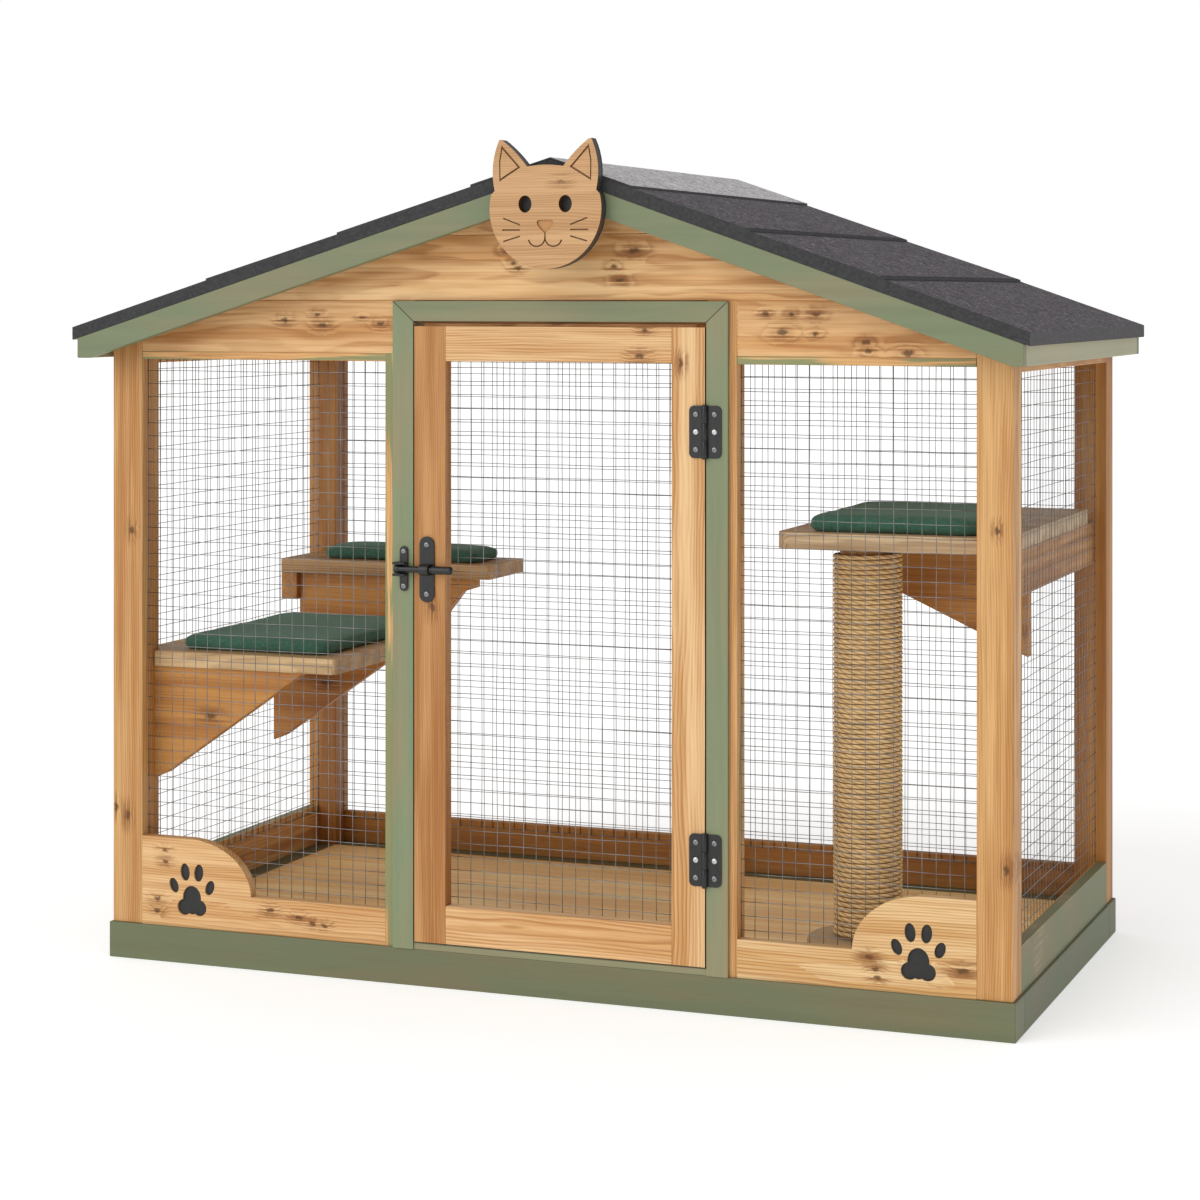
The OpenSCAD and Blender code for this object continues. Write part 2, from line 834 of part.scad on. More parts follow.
module latch_bolt() {
    l = bolt_end_x - bolt_tip_x;
    step = bolt_head_r - bolt_r;
    round_r = 4;
    color(BLACK) translate([bolt_tip_x, bolt_y, latch_z]) rotate([0, 90, 0]) rotate_extrude() union() {
        polygon([
            [0, 0], [bolt_r, 0], [bolt_head_r, step], [bolt_head_r, bolt_head_l - step], [bolt_r, bolt_head_l],
            [bolt_r, l - grip_l], [bolt_head_r, l - grip_l + step], [bolt_head_r, l - round_r],
            [bolt_head_r - round_r, l], [0, l]
        ]);
        translate([bolt_head_r - round_r, l - round_r]) intersection() {
            circle(r = round_r);
            square(round_r);
        }
    }
}

module latch_keeper() {
    slot = bolt_head_r + bolt_gap;
    lug_t = 3.5;
    nose = 1.2;
    x0 = bolt_tip_x - over;
    x1 = keeper_x + keeper_w / 2;
    y0 = bolt_y - bolt_head_r;
    color(BLACK) difference() {
        union() {
            translate([keeper_x, 0, latch_z]) upright(latch_front_y, casing_y) obround(keeper_w, keeper_h);
            for (s = [0, 1]) translate([x0, 0, latch_z]) mirror([0, 0, s]) rotate([90, 0, 90])
                linear_extrude(x1 - x0) polygon([
                    [latch_front_y, slot], [y0 + nose, slot], [y0, slot + nose],
                    [y0, slot + lug_t - nose], [y0 + nose, slot + lug_t], [latch_front_y, slot + lug_t]
                ]);
        }
        keeper_pilots();
    }
}

// Roof: decks, felt in three courses a slope with turned-down edges, and a ridge cap
module deck_profile(side, drop, fit) {
    x0 = ridge_x + side * seam / 2;
    x1 = side * (roof_x - felt_edge_t);
    polygon([
        [x0, under_roof(x0) - drop], [x1, under_roof(x1) - drop],
        [x1, roof_top(x1) - felt_t - fit], [x0, roof_top(x0) - felt_t - fit]
    ]);
}

module roof_decks() {
    color(PINE) for (side = [-1, 1]) {
        upright(roof_front_y + felt_edge_t, roof_back_y - felt_edge_t) deck_profile(side, 0, roof_fit);
    }
}

// Ridge line to the lower ends of the first two courses, as shares of the slope
courses = [0.43, 0.707];
function lap_x(side, i) = ridge_x + (side * roof_x - ridge_x) * courses[i];
// Felt surface on the first course, which thickens down to its lap
function felt_top(x) = let (side = x < ridge_x ? -1 : 1)
    roof_top(x) + felt_lap * (x - ridge_x) / (lap_x(side, 0) - ridge_x);

module felt(side) {
    laps = [for (i = [0, 1]) let (x = lap_x(side, i)) each [[x, roof_top(x) + felt_lap], [x, roof_top(x)]]];
    edge_x = side * roof_x;
    difference() {
        upright(roof_front_y, roof_back_y) polygon(concat(
            [[ridge_x, ridge_z]], laps,
            [[edge_x, roof_top(edge_x)], [edge_x, under_roof(edge_x)], [ridge_x, under_roof(ridge_x)]]
        ));
        upright(roof_front_y + felt_edge_t, roof_back_y - felt_edge_t) union() {
            deck_profile(side, over, 0);
            translate([-side * over, 0]) deck_profile(side, over, 0);
        }
    }
}

module felt_left() {
    color(FELT) felt(-1);
}

module felt_right() {
    color(FELT) felt(1);
}

module ridge_cap() {
    x0 = ridge_x - cap_wing;
    x1 = ridge_x + cap_wing;
    underside = [for (x = [x0, ridge_x, x1]) [x, felt_top(x) + roof_fit]];
    upper_side = [for (x = [x1, ridge_x, x0]) [x, felt_top(x) + roof_fit + cap_t]];
    color(FELT) upright(roof_front_y, roof_back_y) polygon(concat(underside, upper_side));
}

module ridge_beam() {
    color(PINE) cut_to_roof() block(ridge_x - beam_w / 2, ridge_x + beam_w / 2,
        board_back_y, post_out_y - board_t, under_roof(ridge_x) - beam_h, ridge_z);
}

// Barge boards follow both slopes, at the front and the back; their low ends are clipped level
module barge_profile(side) {
    x1 = side * fascia_x;
    slope = side < 0 ? slope_left : slope_right;
    run = (under_roof(ridge_x) - barge_h - barge_clip_z) / slope;
    clip_x = side * min(fascia_x, side * ridge_x + run);
    x0 = ridge_x + side * seam / 2;
    polygon([
        [x0, frame_top(x0)], [x1, frame_top(x1)],
        [x1, max(barge_clip_z, under_roof(x1) - barge_h)],
        [clip_x, max(barge_clip_z, under_roof(clip_x) - barge_h)],
        [x0, under_roof(x0) - barge_h]
    ]);
}

module barge_boards() {
    color(SAGE) for (y = [roof_front_y, roof_back_y - barge_t], side = [-1, 1]) {
        upright(y, y + barge_t) barge_profile(side);
    }
}

module fascias() {
    color(SAGE) for (x = [-fascia_x, fascia_x - barge_t]) {
        cut_to_roof() block(x, x + barge_t, roof_front_y + barge_t, roof_back_y - barge_t, barge_clip_z, ridge_z);
    }
}

// Cat's head plaque. The figure's points are in hundredths of the head's radius.
head_unit = head_r / 100;
ear_foot = [90.7, 30.4];
ear_foot_angle = 14;
ear_tip = [82, 116];
ear_tip_in = [77.5, 115];
ear_in = [32.3, 70.2];
brow = [0, 73];
head_steps = 60;

function bend(a, c, b, n) = [for (i = [0:n - 1]) let (t = i / n)
    (1 - t) * (1 - t) * a + 2 * t * (1 - t) * c + t * t * b];
function flip(points) = [for (i = [len(points) - 1:-1:0]) [-points[i][0], points[i][1]]];

// Right half, from the brow round the ear to the foot of the ear
right_half = concat(
    bend(brow, [18, 73], ear_in, 6),
    bend(ear_in, [52.8, 97], ear_tip_in, 6),
    [ear_tip_in],
    bend(ear_tip, [101, 75], ear_foot, 8),
    [ear_foot]
);
head_round = [for (i = [0:head_steps]) let (a = ear_foot_angle - i * (180 + 2 * ear_foot_angle) / head_steps)
    [100 * cos(a), 100 * sin(a)]];
left_half = [for (p = flip(right_half)) if (p != brow) p];

module head_outline() {
    polygon(concat(right_half, head_round, left_half) * head_unit);
}

// A carved line from a to b
module carved_line(a, b) {
    w = groove_w / head_unit;
    d = b - a;
    translate(a) rotate(atan2(d[1], d[0])) translate([0, -w / 2]) square([norm(d), w]);
}

// Inside of the ear: a line drawn round a four-cornered outline
ear_line = [[78, 106], [82.5, 80], [82, 46], [44, 69]];
ear_line_middle = [71.5, 73];
ear_line_inner = 0.82;

module ear_groove() {
    difference() {
        polygon(ear_line);
        polygon([for (p = ear_line) ear_line_middle + ear_line_inner * (p - ear_line_middle)]);
    }
}

// The mouth is one outline: a short line under the nose that parts into two arcs
mouth_r = 15;
mouth_z = -47.5;
mouth_end = 345;
mouth_steps = 12;

module mouth() {
    w = groove_w / head_unit;
    meet = 180 + acos(mouth_r / (mouth_r + w / 2));
    right = concat(
        [[w / 2, -38]],
        [for (i = [0:mouth_steps]) let (a = 180 + i * (mouth_end - 180) / mouth_steps)
            [mouth_r + (mouth_r - w / 2) * cos(a), mouth_z + (mouth_r - w / 2) * sin(a)]],
        [for (i = [0:mouth_steps - 1]) let (a = mouth_end - i * (mouth_end - meet) / mouth_steps)
            [mouth_r + (mouth_r + w / 2) * cos(a), mouth_z + (mouth_r + w / 2) * sin(a)]]
    );
    polygon(concat(right, [[0, mouth_z + (mouth_r + w / 2) * sin(meet)]], flip(right)));
}

module face_lines() {
    for (s = [0, 1]) mirror([s, 0]) {
        carved_line([45, -26.5], [75, -15.5]);
        carved_line([45, -35], [77, -35]);
        carved_line([45, -45.5], [75, -54]);
        ear_groove();
    }
    mouth();
}

module nose() {
    polygon(concat(
        bend([9, -18.5], [17, -18.5], [14, -26], 5), bend([14, -26], [9, -34], [2.5, -39], 5),
        bend([2.5, -39], [0, -41], [-2.5, -39], 3), bend([-2.5, -39], [-9, -34], [-14, -26], 5),
        bend([-14, -26], [-17, -18.5], [-9, -18.5], 5), [[-9, -18.5]]
    ));
}

module at_head(y0, y1) {
    upright(y0, y1) translate([ridge_x, head_z]) scale(head_unit) children();
}

face_y = roof_front_y - backing_t - face_t;

module cat_plaque() {
    color(PINE) difference() {
        upright(face_y, face_y + face_t) translate([ridge_x, head_z]) head_outline();
        at_head(face_y - over, face_y + face_t + over)
            for (x = [-36, 36]) translate([x, 8]) polygon(ellipse(11.8, 14.3));
        at_head(face_y - over, face_y + groove_d) {
            face_lines();
            nose();
        }
    }
}

module cat_plaque_back() {
    color(BLACK) upright(face_y + face_t, roof_front_y) translate([ridge_x, head_z]) head_outline();
}

// Platforms: a board with one rounded corner, notched round the corner post where it passes it
module platform_outline(x_out, x_edge, y0, y1, corner_r) {
    side = x_edge > x_out ? 1 : -1;
    difference() {
        translate([min(x_out, x_edge), y0]) square([abs(x_edge - x_out), y1 - y0]);
        translate([x_edge, y0]) mirror([side > 0 ? 0 : 1, 0]) difference() {
            translate([-corner_r, -over]) square([corner_r + over, corner_r + over]);
            translate([-corner_r, corner_r]) circle(r = corner_r);
        }
    }
}

module post_notch(side) {
    x0 = side > 0 ? post_in_x - platform_fit : -base_x;
    translate([x0, -base_y]) square([base_x - post_in_x + platform_fit, base_y - post_in_y + platform_fit]);
}

module platform_left() {
    color(PINE) translate([0, 0, left_top_z - platform_t]) linear_extrude(platform_t) difference() {
        platform_outline(-platform_out_x, left_edge_x, left_front_y, left_front_y + left_depth, small_corner_r);
        post_notch(-1);
    }
}

module platform_right() {
    color(PINE) translate([0, 0, right_top_z - platform_t]) linear_extrude(platform_t) difference() {
        platform_outline(platform_out_x, right_edge_x, right_front_y, right_front_y + right_depth, large_corner_r);
        post_notch(1);
    }
}

// The rear shelf fits between the ledger and the back post
module rear_shelf() {
    color(PINE) translate([0, 0, rear_top_z - platform_t]) linear_extrude(platform_t)
        platform_outline(-platform_out_x, rear_edge_x, post_in_y - rear_depth, post_in_y, small_corner_r);
}

// Ledgers run between the posts, or from the shelf's front to the back post
rear_ledger_h = 43;

module ledgers() {
    left_z = left_top_z - platform_t;
    rear_z = rear_top_z - platform_t;
    right_z = right_top_z - platform_t;
    color(PINE) {
        block(-platform_out_x, -ledger_in_x, -post_in_y, post_in_y, left_z - ledger_h, left_z);
        block(-platform_out_x, -ledger_in_x, post_in_y - rear_depth, post_in_y, rear_z - rear_ledger_h, rear_z);
        block(ledger_in_x, platform_out_x, -post_in_y, post_in_y, right_z - ledger_h, right_z);
    }
}

// Gussets: upright triangular boards under the platforms. Their profiles start at the post or
// ledger's inner face, under the board that they carry.
right_gusset_in = 270;
left_gusset = [[0, 0], [242, 0], [19, -155], [0, -163]];
rear_gusset = [[0, 0], [308, 0], [308, -14], [285, -21], [223, -99], [0, -99]];
right_gusset = [[0, 0], [268, 0], [268, -42], [0, -165]];

module gusset(side, x, y, z, profile) {
    translate([x, 0, z]) mirror([side > 0 ? 1 : 0, 0, 0]) upright(y, y + gusset_t) polygon(profile);
}

module gussets() {
    left_z = left_top_z - platform_t;
    color(PINE) {
        gusset(-1, -post_in_x, -post_in_y - 13, left_z, left_gusset);
        gusset(-1, -ledger_in_x, left_front_y + left_depth - gusset_t - 7, left_z, left_gusset);
        gusset(-1, -ledger_in_x, post_in_y - rear_depth + 10, rear_top_z - platform_t, rear_gusset);
        gusset(1, ledger_in_x, right_front_y + right_gusset_in, right_top_z - platform_t, right_gusset);
    }
}

// Cushions: a flat pad with a crown, round edges and sides that draw in between the corners
cushion_right_end = 308;
corner_steps = 5;
side_steps = 4;

function cushion_corner(w, d, r, k) = let (
    sx = k == 0 || k == 3 ? 1 : -1,
    sy = k < 2 ? 1 : -1,
    c = [sx * (w / 2 - r), sy * (d / 2 - r)]
) [for (i = [0:corner_steps]) let (a = 90 * k + 90 * i / corner_steps) c + r * [cos(a), sin(a)]];

function drawn_side(a, b, k, draw) = let (inward = [-cos(90 * k + 90), -sin(90 * k + 90)])
    [for (i = [1:side_steps - 1]) let (t = i / side_steps) a + t * (b - a) + draw * sin(180 * t) * inward];

function cushion_ring(w, d, r, draw) = let (corners = [for (k = [0:3]) cushion_corner(w, d, r, k)])
    [for (k = [0:3]) each concat(
        corners[k],
        drawn_side(corners[k][corner_steps], corners[(k + 1) % 4][0], k, draw)
    )];

// Each ring: height as a share of the cushion's, and how far it lies inside the widest outline
cushion_rings = [[0, 6], [0.16, 1.5], [0.42, 0], [0.66, 1.2], [0.82, 5], [0.92, 18], [0.98, 45]];

module cushion(w, d, h) {
    rings = [for (q = cushion_rings) [for (p = cushion_ring(w - 2 * q[1], d - 2 * q[1],
        max(cushion_r - q[1], 6), cushion_draw)) [p[0], p[1], q[0] * h]]];
    n = len(rings[0]);
    m = len(rings);
    points = concat([for (ring = rings) each ring], [[0, 0, 0], [0, 0, h]]);
    bands = [for (j = [0:m - 2], i = [0:n - 1]) let (
        a = j * n + i, b = j * n + (i + 1) % n
    ) each [[a, a + n, b], [b, a + n, b + n]]];
    caps = [for (i = [0:n - 1]) let (k = (i + 1) % n)
        each [[i, k, m * n], [(m - 1) * n + k, (m - 1) * n + i, m * n + 1]]];
    polyhedron(points = points, faces = concat(bands, caps));
}

module cushion_between(x0, x1, y0, y1, z, h) {
    color(GREEN) translate([(x0 + x1) / 2, (y0 + y1) / 2, z]) cushion(x1 - x0, y1 - y0, h);
}

module cushion_left() {
    cushion_between(-ledger_in_x + 21, left_edge_x - 18, left_front_y + 17, left_front_y + left_depth - 33,
        left_top_z, cushion_left_h);
}

module cushion_right() {
    cushion_between(right_edge_x + 30, platform_out_x - 30, right_front_y + 12, right_front_y + cushion_right_end,
        right_top_z, cushion_right_h);
}

module cushion_rear() {
    cushion_between(-ledger_in_x + 23, rear_edge_x - 22, post_in_y - rear_depth + 15, post_in_y - 4,
        rear_top_z, cushion_rear_h);
}

// Scratching post: a core between a base disc and a top cap, wound with a flattened sisal strand
scratch_y = front_y + scratch_in;
winding_fit = 0.3;
ring_steps = 24;
winding_low = base_h + disc_t + winding_fit;
winding_high = right_top_z - platform_t - post_cap_t - winding_fit;
turn_pitch = (winding_high - winding_low + sisal_gap) / (sisal_turns + 1);
strand_h = turn_pitch - sisal_gap;
strand_r = sisal_r - sisal_t / 2;
core_r = (sisal_r - sisal_t) * cos(180 / ring_steps) - winding_fit;

module scratch_post_core() {
    color(PINE) translate([scratch_x, scratch_y, base_h + disc_t])
        cylinder(r = core_r, h = right_top_z - platform_t - post_cap_t - base_h - disc_t);
}

// Six corners of the strand's section: outward and up
strand_section = [
    [-sisal_t / 2, 0.36 * strand_h], [-sisal_t / 2, -0.36 * strand_h], [0, -strand_h / 2],
    [sisal_t / 2, -0.24 * strand_h], [sisal_t / 2, 0.24 * strand_h], [0, strand_h / 2]
];
ring_count = sisal_turns * ring_steps;

// A ring of the strand: i counts rings, ahead moves it straight on along the strand
function strand_ring(i, ahead = 0) = let (
    a = 360 * i / ring_steps,
    z = winding_low + strand_h / 2 + turn_pitch * i / ring_steps
) [for (q = strand_section) let (r = strand_r + q[0])
    [r * cos(a) - ahead * sin(a), r * sin(a) + ahead * cos(a), z + q[1]]];

strand_rings = concat(
    [strand_ring(0, -sisal_t)],
    [for (i = [0:ring_count]) strand_ring(i)],
    [strand_ring(ring_count, sisal_t)]
);

module sisal_winding() {
    n = len(strand_section);
    m = len(strand_rings);
    sides = [for (j = [0:m - 2], i = [0:n - 1]) let (
        a = j * n + i, b = j * n + (i + 1) % n
    ) each [[a, b, a + n], [b, b + n, a + n]]];
    ends = [for (i = [1:n - 2]) each [
        [0, i + 1, i], [(m - 1) * n, (m - 1) * n + i, (m - 1) * n + i + 1]
    ]];
    turn_gaps = [for (j = [1:m - 2 - ring_steps], p = strand_rings[j], q = strand_rings[j + ring_steps])
        norm(p - q)];
    echo("least gap between two turns of the winding, mm", min(turn_gaps));
    color("#B8935F") translate([scratch_x, scratch_y, 0])
        polyhedron(points = [for (ring = strand_rings) each ring], faces = concat(sides, ends));
}

module scratch_post_ends() {
    edge_r = 7;
    color("#B8935F") translate([scratch_x, scratch_y, base_h]) rotate_extrude() union() {
        square([disc_r - edge_r, disc_t]);
        square([disc_r, disc_t - edge_r]);
        translate([disc_r - edge_r, disc_t - edge_r]) circle(r = edge_r);
    }
    color(PINE) translate([scratch_x, scratch_y, right_top_z - platform_t - post_cap_t])
        cylinder(r = post_cap_r, h = post_cap_t);
}

base_front_rail();
base_back_rail();
base_side_rails();
floor_bearers();
floor_boards();
front_posts();
back_posts();
jamb_studs();
door_lintel();
back_stud();
paw_rail_left();
paw_rail_right();
paw_inlays();
header_boards();
gable_boards();
mesh_beads();
casing_jamb_left();
casing_jamb_right();
casing_head();
door_sill();
side_bottom_rails();
side_top_boards();
back_bottom_rail();
mesh_front_left();
mesh_front_right();
mesh_sides();
mesh_back();
door_stile_latch();
door_stile_hinge();
door_rails();
door_mesh();
hinge_frame_leaves();
hinge_door_leaves();
hinge_pins();
latch_plate();
latch_bolt();
latch_keeper();
frame_screws();
door_screws();
roof_decks();
felt_left();
felt_right();
ridge_cap();
ridge_beam();
barge_boards();
fascias();
cat_plaque();
cat_plaque_back();
platform_left();
platform_right();
rear_shelf();
gussets();
ledgers();
cushion_left();
cushion_right();
cushion_rear();
scratch_post_core();
sisal_winding();
scratch_post_ends();
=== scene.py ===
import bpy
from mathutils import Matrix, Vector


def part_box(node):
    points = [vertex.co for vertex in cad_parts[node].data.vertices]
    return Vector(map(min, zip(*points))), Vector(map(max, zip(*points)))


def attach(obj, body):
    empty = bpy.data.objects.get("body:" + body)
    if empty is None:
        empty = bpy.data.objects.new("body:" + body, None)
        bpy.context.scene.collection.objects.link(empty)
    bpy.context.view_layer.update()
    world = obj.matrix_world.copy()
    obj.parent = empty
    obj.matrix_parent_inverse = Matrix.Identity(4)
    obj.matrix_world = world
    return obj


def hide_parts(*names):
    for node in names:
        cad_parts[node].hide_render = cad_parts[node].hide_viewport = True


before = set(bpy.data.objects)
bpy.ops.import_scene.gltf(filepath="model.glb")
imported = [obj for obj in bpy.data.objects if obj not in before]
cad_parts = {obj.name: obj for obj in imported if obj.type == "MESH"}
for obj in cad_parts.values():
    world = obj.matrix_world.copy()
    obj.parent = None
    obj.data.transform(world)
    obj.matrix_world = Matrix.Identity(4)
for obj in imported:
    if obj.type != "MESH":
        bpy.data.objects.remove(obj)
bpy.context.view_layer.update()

import math
import random

import bmesh
import bpy
from mathutils import Matrix, Vector, noise

scene = bpy.context.scene

# Camera: it stands to the right of the door, level, about as high as the eaves.
# The long lens keeps the posts upright, and the shift frames the object without tilting.
camera_place = (1.4635, -3.8976, 0.9599)
camera_turn = 21.03
lens_mm = 84.66
sensor_mm = 36
frame_shift = -0.2558

camera = bpy.data.objects.new("camera", bpy.data.cameras.new("camera"))
camera.location = camera_place
camera.rotation_euler = (math.radians(90), 0, math.radians(camera_turn))
camera.data.sensor_width = sensor_mm
camera.data.lens = lens_mm
camera.data.shift_y = frame_shift
scene.collection.objects.link(camera)
scene.camera = camera


# Studio: a white sweep of paper lit by a bright surround and one large soft lamp.
# The lamp stands at the front left, so the right side is in shade and the shadow falls right.
surround_light = 0.56
backdrop_light = 1.0
lamp_travel = (0.42, 0.74, -0.46)
lamp_power = 1.3
lamp_spread = 60
paper_reach = 60.0
paper_glow = 0.42


def linear(code):
    """An sRGB hex colour as linear RGBA."""
    channels = [int(code[i:i + 2], 16) / 255 for i in (0, 2, 4)]
    return [c / 12.92 if c <= 0.04045 else ((c + 0.055) / 1.055) ** 2.4 for c in channels] + [1]


def add(tree, kind, inputs=(), out=0, **settings):
    """Adds a node with its settings, and with its values and links by name or in the sockets' order."""
    node = tree.nodes.new("ShaderNode" + kind)
    for name, value in settings.items():
        setattr(node, name, value)
    for name, value in inputs.items() if isinstance(inputs, dict) else enumerate(inputs):
        if isinstance(value, bpy.types.NodeSocket):
            tree.links.new(value, node.inputs[name])
        else:
            node.inputs[name].default_value = linear(value) if isinstance(value, str) else value
    return node.outputs[out]


def surface(name, **sockets):
    """A new material: its node tree, and its shader with the given socket values."""
    material = bpy.data.materials.new(name)
    material.use_nodes = True
    shader = material.node_tree.nodes["Principled BSDF"]
    for socket, value in sockets.items():
        shader.inputs[socket.replace("_", " ")].default_value = value
    return material, material.node_tree, shader


def put(piece_name, bm, material, smooth=True):
    """A finished mesh as an object at the origin, with its material."""
    mesh = bpy.data.meshes.new(piece_name)
    bm.to_mesh(mesh)
    bm.free()
    mesh.materials.append(material)
    for face in mesh.polygons:
        face.use_smooth = smooth
    piece = bpy.data.objects.new(piece_name, mesh)
    scene.collection.objects.link(piece)
    return piece


world = bpy.data.worlds.new("studio_surround")
world.use_nodes = True
scene.world = world
seen = add(world.node_tree, "LightPath", out="Is Camera Ray")
strength = add(world.node_tree, "Math", [seen, backdrop_light - surround_light, surround_light],
               operation="MULTIPLY_ADD")
world.node_tree.links.new(strength, world.node_tree.nodes["Background"].inputs["Strength"])
world.node_tree.nodes["Background"].inputs["Color"].default_value = (1, 1, 1, 1)

lamp = bpy.data.objects.new("soft_lamp", bpy.data.lights.new("soft_lamp", "SUN"))
lamp.data.energy = lamp_power
lamp.data.angle = math.radians(lamp_spread)
lamp.rotation_euler = Vector(lamp_travel).to_track_quat("-Z", "Y").to_euler()
scene.collection.objects.link(lamp)

# Matt white paper: even, with no gloss. It glows a little, as paper lit from behind does.
paper, _, paper_shader = surface("white_paper", Roughness=0.95, Base_Color=linear("F4F4F4"))
paper_shader.inputs["Specular IOR Level"].default_value = 0.1
paper_shader.inputs["Emission Color"].default_value = linear("FFFFFF")
paper_shader.inputs["Emission Strength"].default_value = paper_glow
bm = bmesh.new()
bmesh.ops.create_circle(bm, cap_ends=True, segments=64, radius=paper_reach)
put("paper_floor", bm, paper, smooth=False)
scene.view_settings.view_transform = "Standard"


# Plinth: four rails of planed softwood, painted sage green, butted at the corners and
# screwed together from inside. The paint is thin, so the grain stands a little through it.
# Growth rings are 3.6 mm apart; fibres, really 0.3 mm wide, are drawn at 1.1 mm so that they show.
ring_step = 0.0036
fibre_width = 0.0011
fray_reach = 0.007
frays_per_metre = 150.0
knots_per_metre = 5.5
knot_share = 0.22
knot_r = 0.018
edge_round = 0.0012
fine_edge = 0.0008
weld_gap = 1e-5
sharp_edge = 40


def board_space(tree, name, grain, boards):
    """Place on a CAD node's own boards: along the grain first, and shifted by each board's chance."""
    low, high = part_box(name)
    cell = [(high[i] - low[i]) / boards[i] + 1e-4 for i in range(3)]
    place = add(tree, "TexCoord", out="Object")
    inside = add(tree, "VectorMath", [place, low], operation="SUBTRACT")
    corner = add(tree, "VectorMath", [inside, cell], operation="SNAP")
    seed = add(tree, "VectorMath", [corner, low], operation="ADD")
    luck = add(tree, "TexWhiteNoise", {"Vector": seed}, out="Color")
    own = add(tree, "VectorMath", [inside, corner], operation="SUBTRACT")
    axes = add(tree, "SeparateXYZ", [own]).node.outputs
    order = {"X": "XYZ", "Y": "YXZ", "Z": "ZXY"}[grain]
    along = add(tree, "CombineXYZ", {i: axes[axis] for i, axis in enumerate(order)})
    shifted = add(tree, "VectorMath", [luck, (7, 7, 7), along], operation="MULTIPLY_ADD")
    return place, luck, along, shifted


def feed(tree, shader, **sockets):
    """Links values to the shader's sockets, each under its socket's name."""
    for socket, value in sockets.items():
        tree.links.new(value, shader.inputs[socket.replace("_", " ")])


def drawn_out(tree, place, lengthwise, across, detail=3.0):
    """Noise drawn out along the grain, with so many waves a metre each way."""
    scaled = add(tree, "VectorMath", [place, (lengthwise, across, across)], operation="MULTIPLY")
    return add(tree, "TexNoise", {"Vector": scaled, "Scale": 1.0, "Detail": detail, "Roughness": 0.6})


# Settings of two nodes that come often: a smooth change of a value, and a mix of two colours
smooth = {"interpolation_type": "SMOOTHSTEP"}
of_colour = {"data_type": "RGBA", "out": 2}


